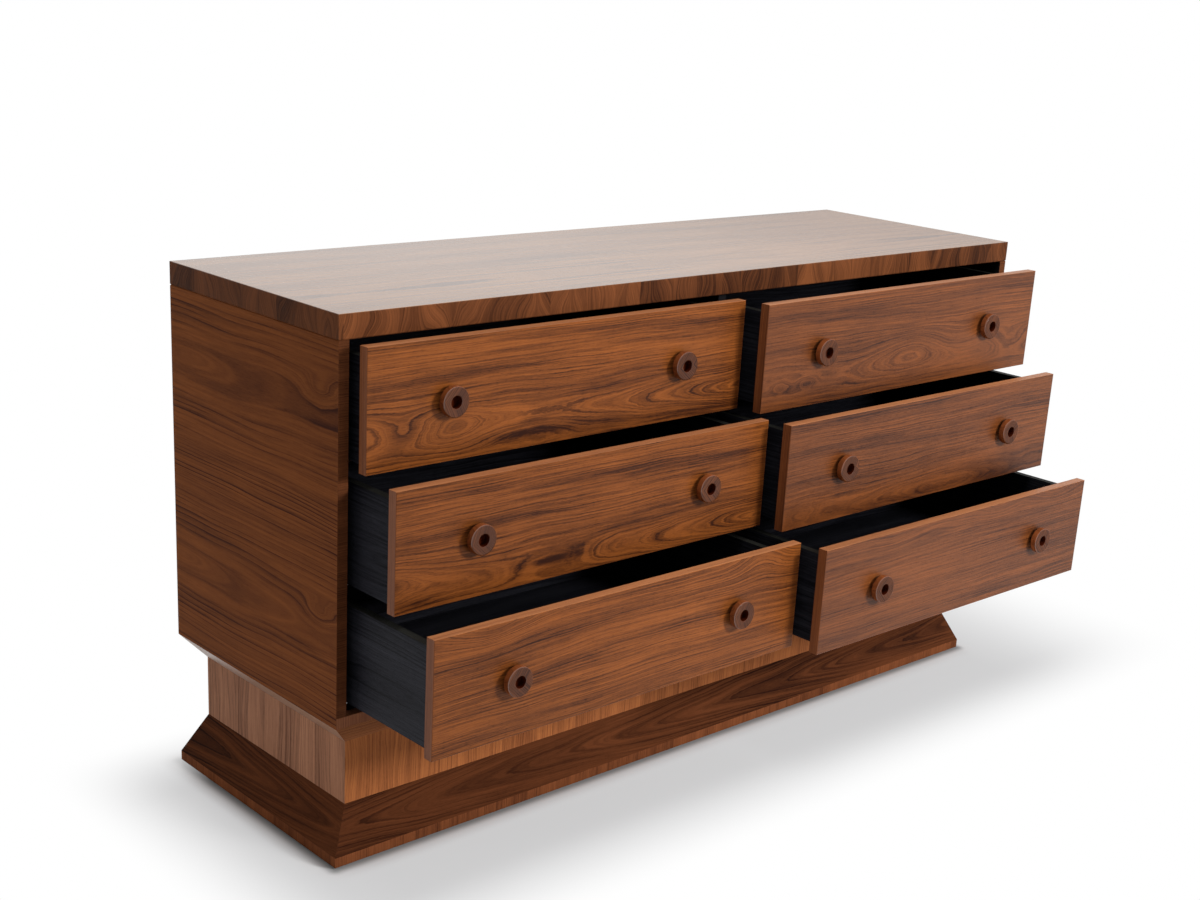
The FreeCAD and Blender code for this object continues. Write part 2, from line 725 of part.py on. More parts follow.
def make_knobs(label, place, hand):
    """Two turned rings on narrow feet, with a blind hole in the face and a tenon behind."""
    body = new_body(label, place)
    middle = f"-{hand} * front_shift"
    centres = [(f"{middle} + {side} * knob_offset", "front_height / 2") for side in (-1, 1)]
    pad(body, circles(body, "XZ_Plane", centres, "knob_foot_diameter"), "knob_foot_height")
    rings = circles(body, "XZ_Plane", centres, "knob_diameter", "knob_foot_height")
    pad(body, rings, "knob_thickness")
    face, back = at_level(1, "-knob_depth"), at_level(1, "-knob_foot_height")
    soften(body, face, "knob_round")
    on_foot = within(centres, "knob_foot_diameter")
    soften(body, lambda spot: back(spot) and not on_foot(spot), "knob_round / 2")
    drawing = circles(body, "XZ_Plane", centres, "knob_hole", "knob_depth")
    pocket(body, drawing, "knob_hole_depth")
    in_hole = within(centres, "knob_hole")
    soften(body, lambda spot: face(spot) and in_hole(spot), "knob_hole_chamfer", "Chamfer")
    tenons = circles(body, "XZ_Plane", centres, "tenon_diameter")
    pad(body, tenons, "tenon_length", backward=True)


def make_drawer_runners(label, place):
    """Two steel channels under the bottom, each open downwards over its cabinet rail."""
    body = new_body(label, place)
    foot = "bottom_under - runner_leg"
    section = [
        ("runner_outer", foot),
        ("runner_outer", "bottom_under"),
        ("runner_inner", "bottom_under"),
        ("runner_inner", foot),
        ("runner_inner + runner_sheet", foot),
        ("runner_inner + runner_sheet", "runner_web"),
        ("runner_outer - runner_sheet", "runner_web"),
        ("runner_outer - runner_sheet", foot),
    ]
    drawing = outlines(body, "XZ_Plane", [section, mirrored(section)], "-rail_front")
    pad(body, drawing, "runner_length", backward=True)


def make_drawers():
    """Six drawers, three rows of two."""
    for row, row_name in enumerate(ROWS):
        for column, hand in COLUMNS.items():
            name = f"{row_name}_{column}"
            place = drawer_place(row, column)
            make_front(f"{name}_front", place, hand)
            make_sides(f"{name}_sides", place)
            make_box_back(f"{name}_back", place)
            make_bottom(f"{name}_bottom", place)
            make_knobs(f"{name}_knobs", place, hand)
            make_drawer_runners(f"{name}_runners", place)


def check_document():
    """Stops if any object failed, or any sub-part is empty or invalid."""
    for item in doc.Objects:
        if {"Invalid", "Error"} & set(item.State):
            raise ValueError(f"{item.Label} is {item.State}")
    for body in doc.findObjects("PartDesign::Body"):
        if body.Shape.isNull() or not body.Shape.isValid() or not body.Shape.Solids:
            raise ValueError(f"{body.Label} has no valid shape")


def write_parts():
    """Writes each sub-part to a file of its own name."""
    os.makedirs("parts", exist_ok=True)
    for body in doc.findObjects("PartDesign::Body"):
        body.Shape.exportStep(f"parts/{body.Label}.step")
        print(body.Label, len(body.Shape.Solids), round(body.Shape.Volume))


fill_sheet()
make_top_panel()
for side_name, side_hand in COLUMNS.items():
    make_side_panel(side_name, side_hand)
make_centre_partition()
make_deck_panel()
make_back_panel()
make_screws()
make_dowels()
make_front_rail()
make_plinth()
make_plinth_supports()
make_glides()
make_runner_rails()
make_drawers()
doc.recompute()
check_document()
write_parts()
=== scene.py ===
"""A wide walnut dresser: two stacks of three drawers under a thick slab, on a plinth that flares outward.

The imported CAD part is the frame; every section below gives one piece, or one group of like pieces, its
finish.
"""

import math

import bmesh
import bpy
import numpy as np
from mathutils import Matrix, Vector


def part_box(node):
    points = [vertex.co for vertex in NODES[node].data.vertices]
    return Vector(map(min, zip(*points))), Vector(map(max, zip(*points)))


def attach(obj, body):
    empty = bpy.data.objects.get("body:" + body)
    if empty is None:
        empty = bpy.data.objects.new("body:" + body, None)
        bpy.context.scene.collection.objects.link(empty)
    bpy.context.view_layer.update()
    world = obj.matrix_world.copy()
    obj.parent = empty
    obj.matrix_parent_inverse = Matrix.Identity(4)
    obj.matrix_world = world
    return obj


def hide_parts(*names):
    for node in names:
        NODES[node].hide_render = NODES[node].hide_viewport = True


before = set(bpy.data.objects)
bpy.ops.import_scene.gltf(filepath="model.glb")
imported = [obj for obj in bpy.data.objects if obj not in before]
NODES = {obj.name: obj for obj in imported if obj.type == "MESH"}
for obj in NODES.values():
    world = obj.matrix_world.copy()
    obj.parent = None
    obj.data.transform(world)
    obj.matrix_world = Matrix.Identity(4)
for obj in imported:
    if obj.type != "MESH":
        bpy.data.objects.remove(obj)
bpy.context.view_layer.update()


# Camera: a long lens at the left front corner, standing a little above the slab and looking down on it.
# It is shifted, so that the dresser stands as low in the frame as in the photo.

CAMERA_PLACE = (-2.1462, -2.2241, 1.3586)
CAMERA_TURN = (71.677, -3.041, -42.080)
CAMERA_LENS, SENSOR_WIDTH = 51.53, 36.0
CAMERA_SHIFT = (0.0049, 0.0694)

camera_data = bpy.data.cameras.new("studio_camera")
camera_data.sensor_width = SENSOR_WIDTH
camera_data.lens = CAMERA_LENS
camera_data.shift_x, camera_data.shift_y = CAMERA_SHIFT
camera = bpy.data.objects.new("studio_camera", camera_data)
camera.location = CAMERA_PLACE
camera.rotation_euler = [math.radians(angle) for angle in CAMERA_TURN]
bpy.context.scene.collection.objects.link(camera)
bpy.context.scene.camera = camera
bpy.context.scene.view_settings.view_transform = "Standard"


# Studio: a white paper floor in a white surround, and four soft banks of light, which the lacquer doesn't
# mirror. Close to the plinth the paper is lit and takes the dresser's shadow, and its colour is painted
# darker towards the plinth's foot, a painted contact shadow. A little further out the camera sees mostly a
# painted shadow, an even grey glow, which fades to plain white further out.

def feed_node(node, feed):
    """Feeds a node's inputs with numbers, or links them to other sockets."""
    for key, value in feed.items():
        if isinstance(value, bpy.types.NodeSocket):
            node.id_data.links.new(value, node.inputs[key])
        else:
            node.inputs[key].default_value = value
    return node


def add_node(tree, kind, feed=None, **options):
    """Adds a shader node, sets its options, and feeds its inputs."""
    node = tree.nodes.new("ShaderNode" + kind)
    for name, option in options.items():
        setattr(node, name, option)
    return feed_node(node, feed or {})


def maths(tree, operation, *terms, clamp=False):
    """The result of one sum, product or other operation on numbers or sockets."""
    return add_node(tree, "Math", dict(enumerate(terms)), operation=operation, use_clamp=clamp).outputs[0]


def product(tree, *terms):
    """Numbers or sockets multiplied together."""
    result = terms[0]
    for term in terms[1:]:
        result = maths(tree, "MULTIPLY", result, term)
    return result


def spread(tree, value, low, high, to_low=0.0, to_high=1.0):
    """A value carried smoothly from one range to another, and held at the ends."""
    feed = {"Value": value, "From Min": low, "From Max": high, "To Min": to_low, "To Max": to_high}
    return add_node(tree, "MapRange", feed, interpolation_type="SMOOTHSTEP").outputs["Result"]


def apart(tree, vector):
    """The three measures of a place."""
    return add_node(tree, "SeparateXYZ", {0: vector}).outputs


def blend(tree, share, first, second):
    """A colour between two others."""
    return add_node(tree, "Mix", {0: share, 6: first, 7: second}, data_type="RGBA").outputs[2]


def seen_directly(tree):
    """1 for rays from the camera, also by way of gloss or through glass, and 0 for rays that only light."""
    paths = add_node(tree, "LightPath").outputs
    seen = maths(tree, "MAXIMUM", paths["Is Camera Ray"], paths["Is Glossy Ray"])
    return maths(tree, "MAXIMUM", seen, paths["Is Transmission Ray"])


def new_material(name):
    """An empty material, its node tree and the source of its places."""
    material = bpy.data.materials.new(name)
    material.use_nodes = True
    tree = material.node_tree
    tree.nodes.clear()
    return material, tree, add_node(tree, "TexCoord").outputs["Object"]


def new_piece(name, points, faces, smooth=False):
    """An object at the origin whose mesh holds the given points and faces."""
    mesh = bpy.data.meshes.new(name)
    mesh.from_pydata(points, [], faces)
    mesh.polygons.foreach_set("use_smooth", np.full(len(mesh.polygons), smooth))
    mesh.update()
    piece = bpy.data.objects.new(name, mesh)
    bpy.context.scene.collection.objects.link(piece)
    return piece


WHITE = (1.0, 1.0, 1.0, 1.0)
PAPER_COLOUR = (0.80, 0.80, 0.805, 1.0)
PAPER_CONTACT_SHADOW = (0.30, 0.30, 0.30, 1.0)
PAPER_PAINTED_SHADOW = (0.64, 0.64, 0.645, 1.0)
PAPER_HALF = 9.0
# axis, where the painted shadow on the paper starts to fade, and where it is plain white: left, right,
# front, back
PAPER_FADES = ((0, -0.82, -1.04), (0, 0.76, 1.30), (1, -0.36, -0.57), (1, 0.12, 0.36))
# how far from the plinth the painted contact shadow lightens, and where the painted grey shadow starts and
# is full
CONTACT_SHADOW_REACH, SHADE_START, SHADE_FULL, SHADE_SHARE = 0.022, 0.004, 0.045, 0.78

paper_material, tree, source = new_material("white_paper")
parts = apart(tree, source)
seen = seen_directly(tree)
fades = [spread(tree, parts[axis], start, end, 1.0, 0.0) for axis, start, end in PAPER_FADES]
near = product(tree, 1.0, *fades)
far = maths(tree, "SUBTRACT", 1.0, near)
plinth_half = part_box("skirt_back")[1]
past = [maths(tree, "SUBTRACT", maths(tree, "ABSOLUTE", parts[axis]), plinth_half[axis]) for axis in (0, 1)]
past = [maths(tree, "POWER", maths(tree, "MAXIMUM", length, 0.0), 2.0) for length in past]
clear = maths(tree, "SQRT", maths(tree, "ADD", *past))
# painted contact shadow: the paper's colour darkens towards the plinth's foot
contact_shadowed_paper = blend(tree, spread(tree, clear, 0.0, CONTACT_SHADOW_REACH), PAPER_CONTACT_SHADOW, PAPER_COLOUR)
# painted shadow: away from the foot, camera rays mostly see an even grey glow in place of the lit paper
painted_shadow_share = product(tree, spread(tree, clear, SHADE_START, SHADE_FULL), product(tree, seen, SHADE_SHARE))
lit = add_node(tree, "BsdfDiffuse", {"Color": contact_shadowed_paper}).outputs[0]
painted_shade = add_node(tree, "Emission", {"Color": PAPER_PAINTED_SHADOW, "Strength": 1.0}).outputs[0]
white = add_node(tree, "Emission", {"Color": WHITE, "Strength": 1.0}).outputs[0]
close = add_node(tree, "MixShader", {0: painted_shadow_share, 1: lit, 2: painted_shade}).outputs[0]
sheet = add_node(tree, "MixShader", {0: product(tree, far, seen), 1: close, 2: white}).outputs[0]
add_node(tree, "OutputMaterial", {"Surface": sheet})

corners = [(x * PAPER_HALF, y * PAPER_HALF, 0.0) for x, y in ((-1, -1), (1, -1), (1, 1), (-1, 1))]
paper = new_piece("paper_floor", corners, [(0, 1, 2, 3)])
paper.data.materials.append(paper_material)

FILL_STRENGTH = 0.30
world = bpy.data.worlds.new("studio_surround")
world.use_nodes = True
tree = world.node_tree
tree.nodes.clear()
surround = maths(tree, "MAXIMUM", seen_directly(tree), FILL_STRENGTH)
background = add_node(tree, "Background", {"Color": WHITE, "Strength": surround})
add_node(tree, "OutputWorld", {"Surface": background.outputs[0]})
bpy.context.scene.world = world

# name: place, point aimed at, width and height of the bank, power in watts
BANKS = {
    "front_bank": ((1.1, -3.1, 1.8), (0.0, -0.3, 0.4), (0.7, 0.7), 112.0),
    "left_bank": ((-3.0, 0.9, 1.2), (-0.8, 0.0, 0.5), (0.6, 2.0), 10.0),
    "top_bank": ((-0.5, -0.9, 2.8), (0.0, -0.2, 0.6), (0.8, 0.8), 26.0),
    "back_bank": ((0.6, 3.2, 1.6), (0.0, 0.2, 0.5), (1.2, 1.2), 45.0),
}
for name, (spot, target, (wide, high), power) in BANKS.items():
    light = bpy.data.lights.new(name, "AREA")
    light.shape = "RECTANGLE"
    light.size, light.size_y = wide, high
    light.energy = power
    bank = bpy.data.objects.new(name, light)
    bank.location = spot
    bank.rotation_euler = (Vector(target) - Vector(spot)).to_track_quat("-Z", "Y").to_euler()
    bank.visible_glossy = False
    bpy.context.scene.collection.objects.link(bank)


# Slab: 38 mm thick, faced with walnut veneer whose grain runs along it, and edged with sheets of crosscut
# veneer whose grain stands upright and fans out. It lies on the sides, dowelled to them.

def new_group(name, inputs, outputs):
    """A shader group with named inputs, each with its default, and named outputs, each with its kind."""
    group = bpy.data.node_groups.new(name, "ShaderNodeTree")
    for label, default in inputs.items():
        kind = "Float" if isinstance(default, float) else ("Color" if len(default) == 4 else "Vector")
        socket = group.interface.new_socket(label, in_out="INPUT", socket_type="NodeSocket" + kind)
        socket.default_value = default
    for label, kind in outputs.items():
        group.interface.new_socket(label, in_out="OUTPUT", socket_type="NodeSocket" + kind)
    taken = group.nodes.new("NodeGroupInput").outputs
    given = group.nodes.new("NodeGroupOutput").inputs
    return group, taken, given


def place_group(tree, group, feed):
    """Places a shader group in a tree and returns its outputs."""
    node = tree.nodes.new("ShaderNodeGroup")
    node.node_tree = group
    return feed_node(node, feed).outputs


def noise(tree, vector, detail=1.0, roughness=0.5):
    """Smooth random values from 0 to 1, and three of them as a colour, with features one unit apart."""
    feed = {"Vector": vector, "Scale": 1.0, "Detail": detail, "Roughness": roughness}
    return add_node(tree, "TexNoise", feed).outputs


def about_zero(tree, value, reach):
    """A random value moved from 0 to 1 to lie either side of zero, by half the reach each way."""
    return maths(tree, "MULTIPLY", maths(tree, "SUBTRACT", value, 0.5), reach)


def joined(tree, x=0.0, y=0.0, z=0.0):
    """Three numbers as one place."""
    return add_node(tree, "CombineXYZ", {0: x, 1: y, 2: z}).outputs[0]


def vectors(tree, operation, first, second):
    """The result of one operation on two places."""
    return add_node(tree, "VectorMath", {0: first, 1: second}, operation=operation).outputs[0]


def total(tree, terms):
    """The sum of pairs of a value and its weight."""
    result = 0.0
    for value, weight in terms:
        result = maths(tree, "MULTIPLY_ADD", value, weight, result)
    return result


# Wood is cut from a trunk whose heart runs along the board, some way below its face. A ring's number grows
# with the distance from the heart, so the face cuts the rings into lines beside it and arches over it.
wood, taken, given = new_group(
    "wood_figure",
    {
        "Place": (0.0, 0.0, 0.0),
        "Light": (0.30, 0.10, 0.04, 1.0),
        "Dark": (0.05, 0.02, 0.012, 1.0),
        "Ring Width": 0.005,
        "Heart Across": 0.0,
        "Heart Depth": 0.05,
        "Lean": 0.0,
        "Fan": 0.0,
        "Bands": 0.25,
        "Lines": 0.43,
        "Clouds": 0.22,
        "Fine": 1.0,
        "Rise": 0.0,
        "Wave": 0.008,
        "Wave Length": 0.22,
        "Ripple": 0.0016,
        "Shade": 0.0,
        "Contrast": 1.0,
        "Curl": 0.06,
        "Leaf": 0.0,
    },
    {"Colour": "Color", "Gloss": "Float", "Relief": "Float"},
)
along, across, deep = apart(wood, taken["Place"])[:]
leaf = taken["Leaf"]
leaf_place = vectors(wood, "ADD", taken["Place"], joined(wood, 0.0, 0.0, leaf))


def by_place(per_metre, detail=1.0, roughness=0.5):
    """Random values with so many features a metre along, across and through the board."""
    return noise(wood, vectors(wood, "MULTIPLY", leaf_place, per_metre), detail, roughness)["Fac"]


def by_ring(count, per_ring, per_metre, detail=1.0, roughness=0.5):
    """Random values with so many features a ring, and so many a metre along it."""
    place = joined(wood, product(wood, count, per_ring), product(wood, along, per_metre), leaf)
    return noise(wood, place, detail, roughness)["Fac"]


# the heart wanders, the rings ripple, rise and lean, and some years are fatter than others
waves = maths(wood, "DIVIDE", 1.0, taken["Wave Length"])
slow_place = joined(wood, product(wood, along, waves), product(wood, across, waves, 3.0), leaf)
drift = apart(wood, noise(wood, slow_place)["Color"])
beside = maths(wood, "ADD", maths(wood, "SUBTRACT", across, taken["Heart Across"]),
               about_zero(wood, drift[0], taken["Wave"]))
beneath = maths(wood, "ADD", maths(wood, "ADD", deep, taken["Heart Depth"]),
                about_zero(wood, drift[1], taken["Wave"]))
off_heart = joined(wood, beside, beneath)
radius = add_node(wood, "VectorMath", {0: off_heart}, operation="LENGTH").outputs["Value"]
ragged = about_zero(wood, by_place((60.0, 210.0, 210.0), 2.0, 0.6), taken["Ripple"])
radius = maths(wood, "ADD", maths(wood, "ADD", radius, ragged), taken["Rise"])
fanned = maths(wood, "ADD", taken["Lean"], about_zero(wood, drift[2], taken["Fan"]))
radius = maths(wood, "MULTIPLY_ADD", fanned, along, radius)
years = maths(wood, "DIVIDE", radius, taken["Ring Width"])
fat = noise(wood, joined(wood, product(wood, years, 0.21), leaf))["Fac"]
years = maths(wood, "MULTIPLY_ADD", fat, 2.6, years)

# each year darkens to a line of late wood and ends short of the next; some lines and groups are stronger
season = maths(wood, "FRACT", years)
late = total(wood, ((maths(wood, "POWER", season, 6.0), 0.75), (maths(wood, "POWER", season, 2.0), 0.25)))
late = product(wood, late, spread(wood, season, 0.90, 1.0, 1.0, 0.0))
strong = spread(wood, by_ring(maths(wood, "FLOOR", years), 1.37, 3.0), 0.34, 0.70, 0.22, 1.0)
herd = spread(wood, by_ring(years, 0.17, 2.0, 0.0), 0.35, 0.65, 0.35, 1.3)
lines = maths(wood, "MULTIPLY", product(wood, late, 2.7), product(wood, strong, herd), clamp=True)

# fine hairs, broader bands and slow clouds follow the rings; fibres, pores and curl follow the board
hairs = spread(wood, by_ring(years, 4.2, 9.0, 1.0, 0.6), 0.28, 0.72)
bands = spread(wood, by_ring(years, 0.9, 2.5, 2.0, 0.65), 0.25, 0.75)
clouds = spread(wood, by_ring(years, 0.13, 1.7), 0.3, 0.7)
fibres = spread(wood, by_place((38.0, 620.0, 620.0), 2.0, 0.65), 0.25, 0.75)
pores = spread(wood, by_place((120.0, 1250.0, 1250.0), 0.0), 0.58, 0.74)
curl = by_place((26.0, 7.0, 7.0))

MIDDLE_TONE = 0.44
small = total(wood, ((hairs, 0.28), (fibres, 0.16), (pores, 0.13), (0.24, -1.0)))
tone = total(wood, ((bands, taken["Bands"]), (lines, taken["Lines"]), (clouds, taken["Clouds"]),
                    (product(wood, small, taken["Fine"]), 1.0), (0.20, 1.0)))
off_middle = maths(wood, "SUBTRACT", tone, MIDDLE_TONE)
tone = maths(wood, "MULTIPLY_ADD", off_middle, taken["Contrast"], MIDDLE_TONE)
tone = maths(wood, "ADD", tone, about_zero(wood, curl, taken["Curl"]))
tone = maths(wood, "ADD", tone, taken["Shade"], clamp=True)
wood.links.new(blend(wood, tone, taken["Light"], taken["Dark"]), given["Colour"])
wood.links.new(total(wood, ((fibres, 0.08), (pores, 0.10))), given["Gloss"])
wood.links.new(total(wood, ((fibres, 0.20), (lines, -0.15), (pores, -1.0))), given["Relief"])

# A swell is a rise or hollow of the rings under the face, with soft, slightly irregular sides. Its height
# falls off as a bell curve of the distance from its middle, each way measured in its own reach.
swell, taken, given = new_group(
    "ring_swell",
    {"Place": (0.0, 0.0, 0.0), "Middle": (0.0, 0.0, 0.0), "Reach": (0.1, 0.03, 1.0), "Height": 0.01},
    {"Rise": "Float"},
)
jog = noise(swell, vectors(swell, "MULTIPLY", taken["Place"], (16.0, 45.0, 0.0)))["Color"]
jog = vectors(swell, "MULTIPLY", vectors(swell, "SUBTRACT", jog, (0.5, 0.5, 0.5)), (0.020, 0.008, 0.0))
offset = vectors(swell, "SUBTRACT", vectors(swell, "ADD", taken["Place"], jog), taken["Middle"])
offset = vectors(swell, "DIVIDE", vectors(swell, "MULTIPLY", offset, (1.0, 1.0, 0.0)), taken["Reach"])
away = add_node(swell, "VectorMath", {0: offset, 1: offset}, operation="DOT_PRODUCT").outputs["Value"]
bell = maths(swell, "EXPONENT", product(swell, away, -1.0))
swell.links.new(product(swell, bell, taken["Height"]), given["Rise"])

# Sheets of veneer are laid side by side across the grain. Each is a later leaf of the same log, turned over
# in turn where they are book-matched, and a touch lighter or darker than its neighbours.
LEAF_STEP = 0.37
sheets, taken, given = new_group(
    "veneer_sheets",
    {"Place": (0.0, 0.0, 0.0), "Width": 0.2, "Start": 0.0, "Turned": 0.0, "Leaf": 0.0},
    {"Place": "Vector", "Leaf": "Float", "Shade": "Float"},
)
along, across, deep = apart(sheets, taken["Place"])[:]
run = maths(sheets, "DIVIDE", maths(sheets, "SUBTRACT", across, taken["Start"]), taken["Width"])
number = maths(sheets, "FLOOR", run)
within = about_zero(sheets, maths(sheets, "FRACT", run), taken["Width"])
odd = product(sheets, maths(sheets, "PINGPONG", number, 1.0), taken["Turned"])
within = product(sheets, within, maths(sheets, "MULTIPLY_ADD", odd, -2.0, 1.0))
sheets.links.new(joined(sheets, along, within, deep), given["Place"])
chance = add_node(sheets, "TexWhiteNoise", {"W": maths(sheets, "ADD", number, taken["Leaf"])},
                  noise_dimensions="1D").outputs["Value"]
sheets.links.new(maths(sheets, "MULTIPLY_ADD", number, LEAF_STEP, taken["Leaf"]), given["Leaf"])
sheets.links.new(maths(sheets, "SUBTRACT", chance, 0.5), given["Shade"])

LENGTHWISE, DEPTHWISE, UPRIGHT = (1, 0, 0), (0, 1, 0), (0, 0, 1)
SQUARE_ON = 0.7


def grain(along, across):
    """The turn that lays a board's length on X, its width on Y and its depth on Z."""
    along, across = Vector(along), Vector(across)
    return Matrix((along, across, along.cross(across))).to_euler()


def bells(tree, place, rows):
    """Bell-shaped rises, each (along, across, reach along, reach across, height), as terms of a sum."""
    feeds = [{"Place": place, "Middle": (x, y, 0.0), "Reach": (reach_x, reach_y, 1.0), "Height": height}
             for x, y, reach_x, reach_y, height in rows]
    return [(place_group(tree, swell, feed)["Rise"], 1.0) for feed in feeds]


def cut_wood(tree, source, along, across, figure, origin=(0.0, 0.0, 0.0), swells=(), shades=(), laid=None,
             solid=0.0):
    """One cut of wood, its grain along one axis: the figure's colour, gloss and relief.

    Swells and shades are rows of bells from the cut's origin; laid is (width, start, turned over, change of
    tone) for sheets laid side by side. Veneer has one figure through its thickness; solid wood shows its
    rings there too."""
    turn = grain(along, across)
    flat = [1.0 - (1.0 - solid) * abs(share) for share in Vector(along).cross(Vector(across))]
    shift = -(turn.to_matrix() @ Vector([place * share for place, share in zip(origin, flat)]))
    mapping = {"Vector": source, "Rotation": turn, "Location": shift, "Scale": flat}
    place = add_node(tree, "Mapping", mapping).outputs[0]
    feed = dict(figure)
    tones = []
    if laid:
        width, start, turned, change = laid
        leaves = place_group(tree, sheets, {"Place": place, "Width": width, "Start": start, "Turned": turned,
                                            "Leaf": feed.get("Leaf", 0.0)})
        place, feed["Leaf"] = leaves["Place"], leaves["Leaf"]
        tones.append((leaves["Shade"], change))
    feed["Place"] = place
    if swells:
        feed["Rise"] = total(tree, bells(tree, place, swells))
    tones += bells(tree, place, shades)
    if tones:
        feed["Shade"] = total(tree, tones)
    return place_group(tree, wood, feed)


def facing(tree, axis, side=0):
    """1 on the faces that look along an axis: both ways, or only one way."""
    normal = apart(tree, add_node(tree, "TexCoord").outputs["Normal"])[axis]
    toward = product(tree, normal, float(side)) if side else maths(tree, "ABSOLUTE", normal)
    return maths(tree, "GREATER_THAN", toward, SQUARE_ON)


def over(tree, mask, top, base):
    """Two cuts of wood as one: the first where the mask is 1."""
    cut = {"Colour": blend(tree, mask, base["Colour"], top["Colour"])}
    for key in ("Gloss", "Relief"):
        cut[key] = add_node(tree, "Mix", {0: mask, 2: base[key], 3: top[key]}).outputs[0]
    return cut


def lacquer(tree, cut, roughness=0.34, specular=0.04, grooves=0.22, coat=None):
    """Ends a wood material with a thin satin lacquer that lets the grain be felt. Where it is fuller, a coat
    is given as its weight, roughness and refraction."""
    gloss = maths(tree, "ADD", cut["Gloss"], roughness)
    relief = add_node(tree, "Bump", {"Height": cut["Relief"], "Strength": grooves, "Distance": 0.0003})
    surface = add_node(tree, "BsdfPrincipled", {"Base Color": cut["Colour"], "Roughness": gloss, "IOR": 1.5,
                                                "Specular IOR Level": specular, "Normal": relief.outputs[0]})
    if coat:
        feed_node(surface, dict(zip(("Coat Weight", "Coat Roughness", "Coat IOR"), coat)))
    add_node(tree, "OutputMaterial", {"Surface": surface.outputs[0]})


def finish(nodes, material):
    """Gives CAD nodes one finish."""
    for node in nodes:
        mesh = NODES[node].data
        mesh.materials.clear()
        mesh.materials.append(material)


def figure_of(light, dark, ring_width, **more):
    """A wood figure's two colours, the width of its rings, and what else sets it apart, as named inputs."""
    figure = {"Light": (*light, 1.0), "Dark": (*dark, 1.0), "Ring Width": ring_width}
    return figure | {name.replace("_", " ").title(): value for name, value in more.items()}


SLAB_TOP = figure_of((0.36, 0.175, 0.070), (0.11, 0.047, 0.022), 0.0075, heart_across=-0.12,
                     heart_depth=0.10, wave=0.03, wave_length=0.6, contrast=1.2, fine=0.6)
SLAB_EDGE = figure_of((0.215, 0.071, 0.025), (0.034, 0.012, 0.006), 0.0048, heart_across=0.5,
                      heart_depth=0.0, fan=4.2, wave=0.006, wave_length=0.16, ripple=0.0006, bands=0.42,
                      lines=0.32, clouds=0.45, fine=0.7, contrast=0.75, leaf=4.0)
SLAB_END = {**SLAB_EDGE, "Leaf": 9.0}
FRONT_SHEETS, END_SHEETS = (0.192, 0.168, 1.0, 0.38), (0.181, -0.029, 1.0, 0.45)
# painted fall-off of the top's reflection: the coat on top thins towards the right, between these places, so
# that the top mirrors less there
SHEEN_FALLOFF_FROM, SHEEN_FALLOFF_TO, SHEEN_FALLOFF_SHARE = -0.5, 0.9, 0.60

slab_walnut, tree, source = new_material("slab_walnut")
low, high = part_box("top_panel")
middle = (0.0, 0.0, (low.z + high.z) / 2)
top = cut_wood(tree, source, LENGTHWISE, DEPTHWISE, SLAB_TOP)
front = cut_wood(tree, source, UPRIGHT, LENGTHWISE, SLAB_EDGE, middle, laid=FRONT_SHEETS)
ends = cut_wood(tree, source, UPRIGHT, DEPTHWISE, SLAB_END, middle, laid=END_SHEETS)
cut = over(tree, facing(tree, 1), front, over(tree, facing(tree, 0), ends, top))
rising = spread(tree, apart(tree, add_node(tree, "TexCoord").outputs["Normal"])[2], 0.1, 0.6)
# painted reflection: the coat's weight falls off along the slab, so the top's sheen dims to the right
painted_sheen_falloff = spread(tree, apart(tree, source)[0], SHEEN_FALLOFF_FROM, SHEEN_FALLOFF_TO, 1.0, SHEEN_FALLOFF_SHARE)
lacquer(tree, cut, 0.34, 0.02, coat=(product(tree, rising, painted_sheen_falloff), 0.16, 1.52))
finish(["top_panel"], slab_walnut)


# Case: two veneered sides with a front rail mitred into their feet, a partition, a floor and a plywood back.
# The sides are faced with leaves laid one over another in the order they were sliced, so the swells of their
# figure repeat.

def plain_board(name, nodes, along, across, figure, roughness=0.34, specular=0.04, solid=0.0):
    """Gives CAD nodes a wood that shows one cut on all their faces."""
    material, tree, source = new_material(name)
    lacquer(tree, cut_wood(tree, source, along, across, figure, solid=solid), roughness, specular)
    finish(nodes, material)


SIDE_FACE = figure_of((0.225, 0.070, 0.020), (0.044, 0.0135, 0.0075), 0.0058, heart_across=0.031,
                      heart_depth=0.10, wave=0.014, wave_length=0.30, ripple=0.0005, clouds=0.10,
                      contrast=1.6, fine=0.5)
SIDE_SWELLS = ((0.192, 0.059, 0.045, 0.022, 0.013), (-0.20, 0.04, 0.10, 0.02, -0.006))
SIDE_SHEETS = (0.342, 0.184, 0.0, 0.0)
SIDE_EDGE = figure_of((0.14, 0.046, 0.017), (0.030, 0.010, 0.005), 0.0035, heart_across=0.3, heart_depth=0.0,
                      wave=0.004, leaf=14.0)
BLACK_INSIDE = figure_of((0.012, 0.011, 0.012), (0.005, 0.005, 0.006), 0.006, heart_depth=0.06, wave=0.02,
                         leaf=20.0)
for side, hand in (("left", -1), ("right", 1)):
    side_walnut, tree, source = new_material(f"{side}_side_walnut")
    figure = {**SIDE_FACE, "Leaf": 12.0 + hand}
    face = cut_wood(tree, source, (0, -1, 0), UPRIGHT, figure, swells=SIDE_SWELLS, laid=SIDE_SHEETS)
    edge = cut_wood(tree, source, LENGTHWISE, UPRIGHT, SIDE_EDGE)
    inside = cut_wood(tree, source, DEPTHWISE, UPRIGHT, BLACK_INSIDE)
    cut = over(tree, facing(tree, 1), edge, over(tree, facing(tree, 0, -hand), inside, face))
    lacquer(tree, cut, 0.34, 0.01)
    finish([f"{side}_side_panel"], side_walnut)

